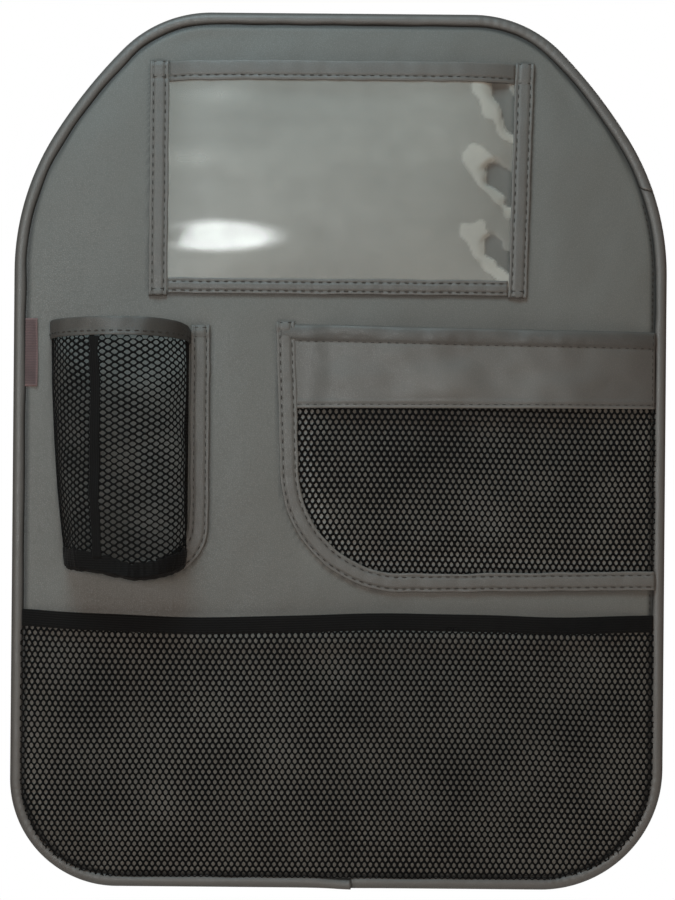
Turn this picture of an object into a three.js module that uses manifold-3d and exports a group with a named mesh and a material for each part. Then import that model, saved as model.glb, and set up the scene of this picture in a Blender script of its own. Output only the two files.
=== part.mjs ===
// Car seat back organiser: a padded leatherette panel with a rolled edge binding, a clear tablet pocket, a
// netted bottle pocket, a side pocket and a full-width lower pocket, and two elastic straps across the back.
// Millimetres, +Z up. The front faces -Y, and the origin is the centre of the back face, which lies on y = 0.
import * as THREE from "three";
import { mergeVertices } from "three/addons/utils/BufferGeometryUtils.js";
import Module from "manifold-3d";

const wasm = await Module();
wasm.setup();

// Panel outline
const PANEL_WIDTH = 450;
const PANEL_HEIGHT = 603;
const TOP_CORNER_RADIUS = 86;
const TOP_CORNER_TURN = THREE.MathUtils.degToRad(45.6);
const SHOULDER_RADIUS = 348;
const SHOULDER_TURN = THREE.MathUtils.degToRad(12.5);
const SIDE_CORNER_RADIUS = 178;
const BOTTOM_LEFT_RADIUS = 74;
const BOTTOM_RIGHT_RADIUS = 84;

// Layers of the panel, from the back face forwards
const LINING_THICKNESS = 0.75;
const CORE_THICKNESS = 3;
const COVER_THICKNESS = 1.25;

// Rolled binding round the edge, in two lengths that meet at the foot and on the right shoulder
const BINDING_WIDTH = 8.5;
const BINDING_RISE = 2;
const BINDING_WRAP = 1.3;
const FOOT_SPLICE_X = 10.6;
const SHOULDER_SPLICE_TURN = THREE.MathUtils.degToRad(20);

// Clearances, and the folded strips that bind the edges of the pockets
const CLEARANCE = 0.3;
const STRIP_WIDTH = 12.8;
const STRIP_LEAF = 0.9;
const STRIP_FOLD = 1.2;

// Sheet materials of the pockets
const CLEAR_SHEET_THICKNESS = 0.5;
const NET_THICKNESS = 1;
const POCKET_PANEL_THICKNESS = 1.25;
const ELASTIC_THICKNESS = 1.5;

// Coarse openings that stand for the fine hexagonal net
const NET_PITCH = 26;
const NET_STRAND = 7;
const NET_MARGIN = 3.5;

// Lower pocket
const LOWER_POCKET_HEIGHT = 190;
const LOWER_POCKET_SLACK = 12;
const ELASTIC_HEIGHT = 11.5;
const ELASTIC_SAG = 2;

// Clear tablet pocket
const WINDOW_DROP = 34;
const WINDOW_WIDTH = 264;
const WINDOW_HEIGHT = 162;
const WINDOW_TAPER = 4;
const WINDOW_SLACK = 9;
const WINDOW_HEM_HEIGHT = 13.5;
const WINDOW_HEM_SET_IN = 1;
const WINDOW_FOOT_HEIGHT = 10.5;
const WINDOW_FOOT_RAISE = 2;

// Row of pockets between the lower pocket and the tablet pocket
const ROW_GAP_BELOW = 14.5;
const ROW_GAP_ABOVE = 17;
const ROW_SPACING = 45.5;

// Side pocket, on the right of the row
const SIDE_POCKET_CORNER_RADIUS = 84;
const SIDE_POCKET_LEAN = THREE.MathUtils.degToRad(2);
const SIDE_POCKET_RISE = THREE.MathUtils.degToRad(1);
const SIDE_POCKET_PANEL_HEIGHT = 56;
const SIDE_POCKET_SLACK = 12;
const SIDE_POCKET_SET_DOWN = 3;

// Bottle pocket, on the left of the row
const BOTTLE_INSET = 28;
const BOTTLE_WIDTH = 94.7;
const BOTTLE_DEPTH = 52;
const BOTTLE_GUSSET_SPREAD = 33.5;
const BOTTLE_EDGE_SET_IN = 2.4;
const BOTTLE_BAND_HEIGHT = 11.5;
const BOTTLE_BAND_THICKNESS = 2;
const BOTTLE_RAISE = 8;
const BOTTLE_STRIP_RADIUS = 37.5;
const BOTTLE_STRIP_TAIL = 20;
const BOTTLE_TAPER = 12.4;
const BOTTLE_BASE_RIM = 13;
const BOTTLE_BASE_SAG = 12;
const BOTTLE_BASE_THICKNESS = 1.2;
const BOTTLE_TAPE_HEIGHT = 8;
const BOTTLE_SEAM_WIDTH = 5;
const BOTTLE_TAPE_THICKNESS = 0.8;

// Sewn-in tag
const TAG_WIDTH = 8.3;
const TAG_HEIGHT = 47;
const TAG_THICKNESS = 0.5;
const TAG_DROP = 212;

// Straps across the back
const STRAP_WIDTH = 25;
const STRAP_THICKNESS = 1.5;
const HEADREST_STRAP_DROP = 112;
const SEAT_STRAP_RISE = 105;

// Columns of the back lining, as shares of its width, and the difference below which two heights are one
const LINING_COLUMNS = [0, 0.3, 0.75, 1];
const LEVEL_TOLERANCE = 0.01;

// Fineness of the faceted curves
const ARC_STEP = THREE.MathUtils.degToRad(8);
const ROLL_POINTS = 11;
const POCKET_COLUMNS = 24;
const PLAN_POINTS = 48;

// Depths of the layers, measured towards the viewer (negative Y)
const LINING_FACE = -LINING_THICKNESS;
const CORE_FACE = LINING_FACE - CORE_THICKNESS;
const COVER_FACE = CORE_FACE - COVER_THICKNESS;

// Heights
const PANEL_TOP = PANEL_HEIGHT / 2;
const PANEL_FOOT = -PANEL_HEIGHT / 2;
const LOWER_MOUTH = PANEL_FOOT + LOWER_POCKET_HEIGHT;
const WINDOW_TOP = PANEL_TOP - WINDOW_DROP;
const WINDOW_FOOT = WINDOW_TOP - WINDOW_HEIGHT;
const ROW_TOP = WINDOW_FOOT - ROW_GAP_ABOVE;
const ROW_FOOT = LOWER_MOUTH + ROW_GAP_BELOW;

// Places across the panel
const BINDING_INNER = BINDING_WIDTH + CLEARANCE;
const INNER_HALF_WIDTH = PANEL_WIDTH / 2 - BINDING_INNER;
const BOTTLE_LEFT = -PANEL_WIDTH / 2 + BOTTLE_INSET;
const BOTTLE_RIGHT = BOTTLE_LEFT + BOTTLE_WIDTH;
const BOTTLE_STRIP_OUTER = BOTTLE_RIGHT + STRIP_WIDTH;
const SIDE_POCKET_LEFT = BOTTLE_STRIP_OUTER + ROW_SPACING;

const LEATHERETTE = new THREE.MeshStandardMaterial({ color: 0x5c5d5b, roughness: 0.55, metalness: 0 });
const BINDING_LEATHERETTE = new THREE.MeshStandardMaterial({ color: 0x646463, roughness: 0.5, metalness: 0 });
const CLEAR_PVC = new THREE.MeshStandardMaterial({ color: 0xb9bdb8, roughness: 0.1, metalness: 0 });
const BLACK_NET = new THREE.MeshStandardMaterial({ color: 0x141313, roughness: 0.8, metalness: 0 });
const BLACK_ELASTIC = new THREE.MeshStandardMaterial({ color: 0x0f0f0e, roughness: 0.85, metalness: 0 });
const BLACK_LINING = new THREE.MeshStandardMaterial({ color: 0x222222, roughness: 0.95, metalness: 0 });
const FOAM = new THREE.MeshStandardMaterial({ color: 0x8c8c88, roughness: 1, metalness: 0 });

// The plane of the panel: a shape's x and y become x and z, and its depth runs towards the viewer.
const PANEL_PLANE = new THREE.Matrix4().makeBasis(
  new THREE.Vector3(1, 0, 0),
  new THREE.Vector3(0, 0, 1),
  new THREE.Vector3(0, -1, 0),
);

// Stations along a path of straights and left-hand arcs, each with its point and its right-hand normal.
function walk(start, heading, moves) {
  let { x, z } = start;
  let h = heading;
  const stations = [{ x, z, nx: Math.sin(h), nz: -Math.cos(h) }];
  for (const move of moves) {
    const steps = move.steps ?? (move.turn ? Math.max(2, Math.ceil(move.turn / ARC_STEP)) : 1);
    for (let k = 0; k < steps; k++) {
      if (move.turn) {
        const centreX = x - Math.sin(h) * move.radius;
        const centreZ = z + Math.cos(h) * move.radius;
        h += move.turn / steps;
        x = centreX + Math.sin(h) * move.radius;
        z = centreZ - Math.cos(h) * move.radius;
      } else {
        x += (Math.cos(h) * move.straight) / steps;
        z += (Math.sin(h) * move.straight) / steps;
      }
      stations.push({ x, z, nx: Math.sin(h), nz: -Math.cos(h) });
    }
  }
  return stations;
}

const inset = (stations, distance) =>
  stations.map((s) => new THREE.Vector2(s.x - s.nx * distance, s.z - s.nz * distance));

// Turns left of a shoulder after its side corner: what is left of the right angle is the side corner's turn.
const SIDE_CORNER_TURN = Math.PI / 2 - TOP_CORNER_TURN - SHOULDER_TURN;
const TOP_REACH = Math.sin(TOP_CORNER_TURN) * TOP_CORNER_RADIUS;
const TOP_FALL = (1 - Math.cos(TOP_CORNER_TURN)) * TOP_CORNER_RADIUS;
const SHOULDER_END_TURN = TOP_CORNER_TURN + SHOULDER_TURN;
const SHOULDER_REACH = (Math.sin(SHOULDER_END_TURN) - Math.sin(TOP_CORNER_TURN)) * SHOULDER_RADIUS;
const SHOULDER_FALL = (Math.cos(TOP_CORNER_TURN) - Math.cos(SHOULDER_END_TURN)) * SHOULDER_RADIUS;
const SIDE_REACH = (1 - Math.sin(SHOULDER_END_TURN)) * SIDE_CORNER_RADIUS;
const SIDE_FALL = Math.cos(SHOULDER_END_TURN) * SIDE_CORNER_RADIUS;
const CORNER_REACH = TOP_REACH + SHOULDER_REACH + SIDE_REACH;
const CORNER_FALL = TOP_FALL + SHOULDER_FALL + SIDE_FALL;

// The edge of the panel, anticlockwise from the front, from the splice at the foot to the shoulder splice.
function rightEdge() {
  return walk({ x: FOOT_SPLICE_X, z: PANEL_FOOT }, 0, [
    { straight: PANEL_WIDTH / 2 - BOTTOM_RIGHT_RADIUS - FOOT_SPLICE_X },
    { radius: BOTTOM_RIGHT_RADIUS, turn: Math.PI / 2 },
    { straight: PANEL_HEIGHT - BOTTOM_RIGHT_RADIUS - CORNER_FALL },
    { radius: SIDE_CORNER_RADIUS, turn: SHOULDER_SPLICE_TURN },
  ]);
}

// From the shoulder splice over the top, down the left side and back to the splice at the foot.
function leftEdge() {
  const from = rightEdge().at(-1);
  return walk(from, Math.PI / 2 + SHOULDER_SPLICE_TURN, [
    { radius: SIDE_CORNER_RADIUS, turn: SIDE_CORNER_TURN - SHOULDER_SPLICE_TURN },
    { radius: SHOULDER_RADIUS, turn: SHOULDER_TURN },
    { radius: TOP_CORNER_RADIUS, turn: TOP_CORNER_TURN },
    { straight: PANEL_WIDTH - 2 * CORNER_REACH },
    { radius: TOP_CORNER_RADIUS, turn: TOP_CORNER_TURN },
    { radius: SHOULDER_RADIUS, turn: SHOULDER_TURN },
    { radius: SIDE_CORNER_RADIUS, turn: SIDE_CORNER_TURN },
    { straight: PANEL_HEIGHT - BOTTOM_LEFT_RADIUS - CORNER_FALL },
    { radius: BOTTOM_LEFT_RADIUS, turn: Math.PI / 2 },
    { straight: PANEL_WIDTH / 2 - BOTTOM_LEFT_RADIUS + FOOT_SPLICE_X },
  ]);
}

const panelOutline = (distance) => inset([...rightEdge().slice(0, -1), ...leftEdge().slice(0, -1)], distance);

// A flat sheet of an outline in the panel's plane, from its back plane towards the viewer.
function sheet(outline, back, thickness) {
  const depth = { depth: thickness, bevelEnabled: false };
  const geometry = new THREE.ExtrudeGeometry(new THREE.Shape(outline), depth);
  return geometry.applyMatrix4(PANEL_PLANE).translate(0, back, 0);
}

// A geometry from vertices and triangles, with its faces turned outwards.
function closedGeometry(vertices, triangles) {
  const volume = triangles.reduce((sum, [a, b, c]) => {
    const cross = new THREE.Vector3().crossVectors(vertices[b], vertices[c]);
    return sum + vertices[a].dot(cross);
  }, 0);
  const turned = volume < 0 ? triangles.map(([a, b, c]) => [a, c, b]) : triangles;
  return new THREE.BufferGeometry().setFromPoints(vertices).setIndex(turned.flat());
}

// A section of [distance in from the edge, depth] points carried along stations, closed at both ends.
function sweep(stations, section, lift = () => 0) {
  const count = section.length;
  const vertices = stations.flatMap((s) =>
    section.map(([u, y]) => {
      const x = s.x - s.nx * u;
      const z = s.z - s.nz * u;
      return new THREE.Vector3(x, y - lift(x, z), z);
    }),
  );
  const triangles = [];
  for (let i = 0; i + 1 < stations.length; i++) {
    for (let j = 0; j < count; j++) {
      const a = i * count + j;
      const b = i * count + ((j + 1) % count);
      triangles.push([a, b, b + count], [a, b + count, a + count]);
    }
  }
  const cap = THREE.ShapeUtils.triangulateShape(section.map(([u, y]) => new THREE.Vector2(u, y)), []);
  const clockwise = THREE.ShapeUtils.area(section.map(([u, y]) => new THREE.Vector2(u, y))) < 0;
  const last = (stations.length - 1) * count;
  for (const [a, b, c] of cap) {
    const [p, q] = clockwise ? [b, c] : [c, b];
    triangles.push([a, p, q], [last + a, last + q, last + p]);
  }
  return closedGeometry(vertices, triangles);
}

// A closed shell between two surfaces given on the same grid of (u, v), each from 0 to 1.
function shell(columns, rows, front, back) {
  const across = columns + 1;
  const layer = across * (rows + 1);
  const vertices = [];
  for (const surface of [front, back]) {
    for (let j = 0; j <= rows; j++) {
      for (let i = 0; i <= columns; i++) vertices.push(surface(i / columns, j / rows));
    }
  }
  const triangles = [];
  const quad = (a, b, c, d) => triangles.push([a, b, c], [a, c, d]);
  for (let j = 0; j < rows; j++) {
    for (let i = 0; i < columns; i++) {
      const a = j * across + i;
      quad(a, a + 1, a + 1 + across, a + across);
      quad(layer + a, layer + a + across, layer + a + 1 + across, layer + a + 1);
    }
  }
  const top = rows * across;
  for (let i = 0; i < columns; i++) {
    quad(i, layer + i, layer + i + 1, i + 1);
    quad(top + i, top + i + 1, layer + top + i + 1, layer + top + i);
  }
  for (let j = 0; j < rows; j++) {
    const a = j * across;
    const b = a + columns;
    quad(a, a + across, layer + a + across, layer + a);
    quad(b, layer + b, layer + b + across, b + across);
  }
  return closedGeometry(vertices, triangles);
}

// The least distance from a point to the sides of a convex anticlockwise path, positive inside it.
function distanceInside(path, x, z) {
  return Math.min(
    ...path.slice(1).map((b, i) => {
      const a = path[i];
      return ((b.x - a.x) * (z - a.y) - (b.y - a.y) * (x - a.x)) / a.distanceTo(b);
    }),
  );
}

// The sides of an outline cut into lengths short enough to bend.
function subdivided(outline, longest) {
  return outline.flatMap((a, i) => {
    const b = outline[(i + 1) % outline.length];
    const pieces = Math.max(1, Math.round(a.distanceTo(b) / longest));
    return Array.from({ length: pieces }, (_, k) => a.clone().lerp(b, k / pieces));
  });
}

// The part of a polygon on one side of a level or upright line.
function cut(polygon, axis, limit, keepAbove) {
  const height = (p) => (keepAbove ? p[axis] - limit : limit - p[axis]);
  return polygon.flatMap((a, i) => {
    const b = polygon[(i + 1) % polygon.length];
    const [ha, hb] = [height(a), height(b)];
    const kept = ha >= 0 ? [a] : [];
    if (ha * hb < 0) kept.push(a.clone().lerp(b, ha / (ha - hb)));
    return kept;
  });
}

// The cells of a net: its outline cut into staggered rows, and each row into cells with hexagonal openings.
function netCells(outline) {
  const box = new THREE.Box2().setFromPoints(outline);
  const reach = (NET_PITCH - NET_STRAND) / 2;
  const rowPitch = NET_PITCH * Math.sin(Math.PI / 3);
  const spareHeight = box.max.y - box.min.y - 2 * (reach + NET_MARGIN);
  const rows = Math.floor(spareHeight / rowPitch) + 1;
  const columns = Math.ceil((box.max.x - box.min.x) / NET_PITCH / 2) + 1;
  const middle = box.getCenter(new THREE.Vector2());
  const closed = [...outline, outline[0]];
  const cells = [];
  for (let j = 0; j < rows; j++) {
    const z = middle.y + (j - (rows - 1) / 2) * rowPitch;
    let row = outline;
    if (j > 0) row = cut(row, "y", z - rowPitch / 2, true);
    if (j < rows - 1) row = cut(row, "y", z + rowPitch / 2, false);
    for (let i = -columns; i <= columns; i++) {
      const x = middle.x + (i + (j % 2) / 2) * NET_PITCH;
      const wall = cut(cut(row, "x", x - NET_PITCH / 2, true), "x", x + NET_PITCH / 2, false);
      if (wall.length < 3) continue;
      const opens = distanceInside(closed, x, z) >= reach + NET_MARGIN;
      const opening = Array.from({ length: opens ? 6 : 0 }, (_, k) => {
        const angle = Math.PI / 6 - (k * Math.PI) / 3;
        return new THREE.Vector2(x + reach * Math.cos(angle), z + reach * Math.sin(angle));
      });
      cells.push({ wall, opening, x });
    }
  }
  return cells;
}

// Points added to the level sides of a cell where the cells of the next row meet it.
function withJoints(wall, x) {
  return wall.flatMap((a, i) => {
    const b = wall[(i + 1) % wall.length];
    const level = Math.abs(a.y - b.y) < LEVEL_TOLERANCE;
    const crosses = level && (a.x - x) * (b.x - x) < 0;
    return crosses ? [a, a.clone().lerp(b, (x - a.x) / (b.x - a.x))] : [a];
  });
}

// A net: its flat cells are joined, given thickness and walls, and put in place point by point.
function net(outline, place) {
  const points = [];
  const keys = new Map();
  const indexOf = (p) => {
    const key = `${Math.round(p.x * 1e3)},${Math.round(p.y * 1e3)}`;
    if (!keys.has(key)) keys.set(key, points.push(p) - 1);
    return keys.get(key);
  };
  const faces = netCells(outline).flatMap(({ wall, opening, x }) => {
    const contour = withJoints(wall, x);
    const all = [...contour, ...opening].map(indexOf);
    const faces = THREE.ShapeUtils.triangulateShape(contour, opening.length ? [opening] : []);
    return faces.map((face) => face.map((k) => all[k]));
  });
  const solid = faces.filter(([a, b, c]) => a !== b && b !== c && c !== a);
  const count = points.length;
  const edges = new Set(solid.flatMap(([a, b, c]) => [`${a},${b}`, `${b},${c}`, `${c},${a}`]));
  const triangles = solid.flatMap(([a, b, c]) => [[a, c, b], [a + count, b + count, c + count]]);
  for (const edge of edges) {
    const [a, b] = edge.split(",").map(Number);
    if (edges.has(`${b},${a}`)) continue;
    triangles.push([a, b, b + count], [a, b + count, a + count]);
  }
  const vertices = [0, NET_THICKNESS].flatMap((depth) => points.map((p) => place(p.x, p.y, depth)));
  return closedGeometry(vertices, triangles);
}

// A strip folded over the edge of a sheet: two leaves, a fold at the outer edge and a slot for the sheet.
function foldedStrip(width, held) {
  const slotBack = COVER_FACE - STRIP_LEAF;
  const slotFront = slotBack - held - 2 * CLEARANCE;
  const front = slotFront - STRIP_LEAF;
  return [
    [0, COVER_FACE],
    [width, COVER_FACE],
    [width, slotBack],
    [STRIP_FOLD, slotBack],
    [STRIP_FOLD, slotFront],
    [width, slotFront],
    [width, front],
    [0, front],
  ];
}

// The back of a sheet that a folded strip holds.
const HELD_BACK = COVER_FACE - STRIP_LEAF - CLEARANCE;

// The rolled binding's section: an ellipse over the edge of the panel, with a slot for the panel's layers.
function bindingSection() {
  const middle = COVER_FACE / 2;
  const halfHeight = -COVER_FACE / 2 + BINDING_RISE;
  const contact = Math.acos(-middle / halfHeight);
  const halfWidth = BINDING_WIDTH / (1 + Math.sin(contact));
  const roll = Array.from({ length: ROLL_POINTS }, (_, k) => {
    const angle = contact - (k / (ROLL_POINTS - 1)) * (Math.PI + 2 * contact);
    return [halfWidth * (1 + Math.sin(angle)), middle - halfHeight * Math.cos(angle)];
  });
  return [...roll, [BINDING_WRAP, 0], [BINDING_WRAP, COVER_FACE]];
}

const panelLayer = (back, thickness) => sheet(panelOutline(BINDING_WRAP + CLEARANCE), back, thickness);

const HEADREST_STRAP_FOOT = PANEL_TOP - HEADREST_STRAP_DROP - STRAP_WIDTH;
const SEAT_STRAP_FOOT = PANEL_FOOT + SEAT_STRAP_RISE;

// The lining is made in rows that part at the straps, so its faces between the straps are clear of both.
function backLining() {
  const outline = panelOutline(BINDING_WRAP + CLEARANCE);
  const closed = [...outline, outline[0]];
  const betweenStraps = [HEADREST_STRAP_FOOT - STRAP_WIDTH, SEAT_STRAP_FOOT + 2 * STRAP_WIDTH];
  const heights = [...outline.map((p) => p.y), ...betweenStraps]
    .sort((a, b) => a - b)
    .filter((z, k, all) => k === 0 || z - all[k - 1] > LEVEL_TOLERANCE);
  const ends = heights.map((z) => {
    const crossings = closed.slice(1).flatMap((b, k) => {
      const a = closed[k];
      const share = (z - a.y) / (b.y - a.y);
      const crosses = Math.abs(b.y - a.y) > LEVEL_TOLERANCE && Math.abs(share - 0.5) < 0.5 + LEVEL_TOLERANCE;
      return crosses ? [THREE.MathUtils.lerp(a.x, b.x, THREE.MathUtils.clamp(share, 0, 1))] : [];
    });
    return { left: Math.min(...crossings), right: Math.max(...crossings) };
  });
  const surface = (depth) => (u, v) => {
    const row = Math.round(v * (heights.length - 1));
    const share = LINING_COLUMNS[Math.round(u * (LINING_COLUMNS.length - 1))];
    const x = THREE.MathUtils.lerp(ends[row].left, ends[row].right, share);
    return new THREE.Vector3(x, depth, heights[row]);
  };
  return shell(LINING_COLUMNS.length - 1, heights.length - 1, surface(LINING_FACE), surface(0));
}

const edgeBindingRight = () => sweep(rightEdge(), bindingSection());

// The left length stops short of the right one at both splices.
function edgeBindingLeft() {
  const stations = leftEdge();
  const [first, second] = stations;
  const chord = Math.hypot(second.x - first.x, second.z - first.z);
  const share = (2 * CLEARANCE) / chord;
  for (const key of ["x", "z", "nx", "nz"]) first[key] += (second[key] - first[key]) * share;
  stations.at(-1).x -= CLEARANCE;
  return sweep(stations, bindingSection());
}

// Lower pocket

const elasticSag = (x) => ELASTIC_SAG * (1 - (x / INNER_HALF_WIDTH) ** 2);
const elasticFoot = (x) => LOWER_MOUTH - ELASTIC_HEIGHT - elasticSag(x);

// How far the wall of the lower pocket stands off the cover.
function lowerLift(x, z) {
  const foot = PANEL_FOOT + BINDING_INNER;
  const share = THREE.MathUtils.clamp((z - foot) / (LOWER_MOUTH - foot), 0, 1);
  return LOWER_POCKET_SLACK * (1 - (x / INNER_HALF_WIDTH) ** 4) * (1 - (1 - share) ** 2);
}

function lowerElastic() {
  const surface = (depth) => (u, v) => {
    const x = THREE.MathUtils.lerp(-INNER_HALF_WIDTH, INNER_HALF_WIDTH, u);
    const z = elasticFoot(x) + v * ELASTIC_HEIGHT;
    return new THREE.Vector3(x, COVER_FACE - depth - lowerLift(x, z), z);
  };
  return shell(POCKET_COLUMNS, 1, surface(ELASTIC_THICKNESS), surface(0));
}

function lowerNet() {
  const sides = panelOutline(BINDING_INNER).filter((p) => p.y < elasticFoot(p.x) - NET_PITCH);
  const split = sides.findIndex((p, i) => i > 0 && sides[i - 1].x > 0 && p.x < 0);
  const rim = Array.from({ length: POCKET_COLUMNS + 1 }, (_, k) => {
    const x = THREE.MathUtils.lerp(INNER_HALF_WIDTH, -INNER_HALF_WIDTH, k / POCKET_COLUMNS);
    return new THREE.Vector2(x, elasticFoot(x) - CLEARANCE);
  });
  const outline = [...sides.slice(0, split), ...rim, ...sides.slice(split)];
  const place = (x, z, d) => new THREE.Vector3(x, COVER_FACE - d - lowerLift(x, z), z);
  return net(subdivided(outline, NET_PITCH), place);
}

// Clear tablet pocket

const WINDOW_LEFT = -WINDOW_WIDTH / 2;
const windowRight = (z) => WINDOW_WIDTH / 2 - (WINDOW_TAPER * (WINDOW_TOP - z)) / WINDOW_HEIGHT;
const WINDOW_LEAN = Math.atan(WINDOW_TAPER / WINDOW_HEIGHT);
const WINDOW_INNER_LEFT = WINDOW_LEFT + STRIP_WIDTH;
const WINDOW_SHEET_TOP = WINDOW_TOP - WINDOW_HEM_SET_IN - STRIP_FOLD - CLEARANCE;
const WINDOW_SHEET_FOOT = WINDOW_FOOT + WINDOW_FOOT_RAISE + STRIP_FOLD + CLEARANCE;
const WINDOW_CLEAR_FOOT = WINDOW_FOOT + WINDOW_FOOT_RAISE + WINDOW_FOOT_HEIGHT;

// How far the clear sheet stands off the cover: nothing along the strips, most at the middle of the mouth.
function windowLift(x, z) {
  const right = windowRight(z) - STRIP_WIDTH;
  const across = (2 * (x - WINDOW_INNER_LEFT)) / (right - WINDOW_INNER_LEFT) - 1;
  const up = (z - WINDOW_CLEAR_FOOT) / (WINDOW_TOP - WINDOW_CLEAR_FOOT);
  if (Math.abs(across) >= 1 || up <= 0) return 0;
  return WINDOW_SLACK * (1 - across ** 4) * (1 - (1 - up) ** 3);
}

function windowSheet() {
  const margin = STRIP_WIDTH - STRIP_FOLD - CLEARANCE;
  const rows = [WINDOW_SHEET_FOOT, WINDOW_CLEAR_FOOT];
  const openRows = 6;
  for (let k = 1; k <= openRows; k++) {
    rows.push(THREE.MathUtils.lerp(WINDOW_CLEAR_FOOT, WINDOW_SHEET_TOP, k / openRows));
  }
  const columns = POCKET_COLUMNS + 2;
  const surface = (depth) => (u, v) => {
    const z = rows[Math.round(v * (rows.length - 1))];
    const inner = windowRight(z) - STRIP_WIDTH;
    const column = Math.round(u * columns);
    let x = THREE.MathUtils.lerp(WINDOW_INNER_LEFT, inner, (column - 1) / POCKET_COLUMNS);
    if (column === 0) x = WINDOW_INNER_LEFT - margin;
    if (column === columns) x = inner + margin;
    return new THREE.Vector3(x, HELD_BACK - depth - windowLift(x, z), z);
  };
  return shell(columns, rows.length - 1, surface(CLEAR_SHEET_THICKNESS), surface(0));
}

const windowSection = (width) => foldedStrip(width, CLEAR_SHEET_THICKNESS);

function windowLeftStrip() {
  const path = walk({ x: WINDOW_LEFT, z: WINDOW_TOP }, -Math.PI / 2, [{ straight: WINDOW_HEIGHT }]);
  return sweep(path, windowSection(STRIP_WIDTH));
}

function windowRightStrip() {
  const length = WINDOW_HEIGHT / Math.cos(WINDOW_LEAN);
  const start = { x: windowRight(WINDOW_FOOT), z: WINDOW_FOOT };
  const path = walk(start, Math.PI / 2 - WINDOW_LEAN, [{ straight: length }]);
  return sweep(path, windowSection(STRIP_WIDTH));
}

// The width along a leaning strip's level section is a little more than its own width.
const rightStripInner = (z) => windowRight(z) - STRIP_WIDTH / Math.cos(WINDOW_LEAN) - CLEARANCE;

function windowFootStrip() {
  const z = WINDOW_FOOT + WINDOW_FOOT_RAISE;
  const left = WINDOW_INNER_LEFT + CLEARANCE;
  const path = walk({ x: left, z }, 0, [{ straight: rightStripInner(z) - left }]);
  return sweep(path, windowSection(WINDOW_FOOT_HEIGHT));
}

function windowTopHem() {
  const z = WINDOW_TOP - WINDOW_HEM_SET_IN;
  const right = rightStripInner(z - WINDOW_HEM_HEIGHT);
  const left = WINDOW_INNER_LEFT + CLEARANCE;
  const path = walk({ x: right, z }, Math.PI, [{ straight: right - left, steps: POCKET_COLUMNS }]);
  return sweep(path, windowSection(WINDOW_HEM_HEIGHT), windowLift);
}

// Side pocket

const SIDE_HELD = Math.max(POCKET_PANEL_THICKNESS, NET_THICKNESS);
const SIDE_TOP = ROW_TOP - SIDE_POCKET_SET_DOWN;
const SIDE_PANEL_FOOT = SIDE_TOP - SIDE_POCKET_PANEL_HEIGHT;

// The outer edge of the side pocket's strip: down the left, round the corner and along to the right binding.
function sidePocketEdge(reach) {
  const heading = -Math.PI / 2 + SIDE_POCKET_LEAN;
  const turn = Math.PI / 2 - SIDE_POCKET_LEAN + SIDE_POCKET_RISE;
  const radius = SIDE_POCKET_CORNER_RADIUS;
  const cornerFall = radius * (Math.cos(SIDE_POCKET_RISE) - Math.sin(SIDE_POCKET_LEAN));
  const straight = (ROW_TOP - ROW_FOOT - cornerFall) / Math.cos(SIDE_POCKET_LEAN);
  const start = { x: SIDE_POCKET_LEFT, z: ROW_TOP };
  const corner = walk(start, heading, [{ straight }, { radius, turn }]);
  const end = corner.at(-1);
  const last = walk(end, SIDE_POCKET_RISE, [{ straight: (reach - end.x) / Math.cos(SIDE_POCKET_RISE) }]);
  return [...corner, last[1]];
}

function sidePocketLift(x, z) {
  const left = SIDE_POCKET_LEFT + STRIP_WIDTH;
  const foot = ROW_FOOT + STRIP_WIDTH;
  const across = (2 * (x - left)) / (INNER_HALF_WIDTH - left) - 1;
  const up = (z - foot) / (SIDE_TOP - foot);
  if (Math.abs(across) >= 1 || up <= 0) return 0;
  const edge = distanceInside(inset(sidePocketEdge(INNER_HALF_WIDTH), STRIP_WIDTH + CLEARANCE), x, z);
  const settle = THREE.MathUtils.smoothstep(edge, 0, 2 * STRIP_WIDTH);
  return SIDE_POCKET_SLACK * (1 - across ** 4) * (1 - (1 - up) ** 2) * settle;
}

const sidePocketStrip = () => sweep(sidePocketEdge(INNER_HALF_WIDTH), foldedStrip(STRIP_WIDTH, SIDE_HELD));

// The left edge of what the strip holds, at a height above the corner.
function sideHeldLeft(z) {
  const lean = (ROW_TOP - z) * Math.tan(SIDE_POCKET_LEAN);
  return SIDE_POCKET_LEFT + lean + (STRIP_FOLD + CLEARANCE) / Math.cos(SIDE_POCKET_LEAN);
}

function sidePocketPanel() {
  const rows = 3;
  const surface = (depth) => (u, v) => {
    const z = THREE.MathUtils.lerp(SIDE_PANEL_FOOT, SIDE_TOP, v);
    const x = THREE.MathUtils.lerp(sideHeldLeft(z), INNER_HALF_WIDTH, u);
    return new THREE.Vector3(x, HELD_BACK - depth - sidePocketLift(x, z), z);
  };
  return shell(POCKET_COLUMNS, rows, surface(POCKET_PANEL_THICKNESS), surface(0));
}

// The net meets the inner edge of the strip.
function sidePocketNet() {
  const top = SIDE_PANEL_FOOT - CLEARANCE;
  const edge = inset(sidePocketEdge(INNER_HALF_WIDTH), STRIP_WIDTH + CLEARANCE);
  const corner = edge.filter((p) => p.y < top - CLEARANCE);
  const left = sideHeldLeft(top) + STRIP_WIDTH - STRIP_FOLD;
  const rim = Array.from({ length: POCKET_COLUMNS + 1 }, (_, k) => {
    const x = THREE.MathUtils.lerp(INNER_HALF_WIDTH, left, k / POCKET_COLUMNS);
    return new THREE.Vector2(x, top);
  });
  const outline = subdivided([...corner, ...rim], NET_PITCH);
  return net(outline, (x, z, d) => new THREE.Vector3(x, COVER_FACE - d - sidePocketLift(x, z), z));
}

// Bottle pocket

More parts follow.
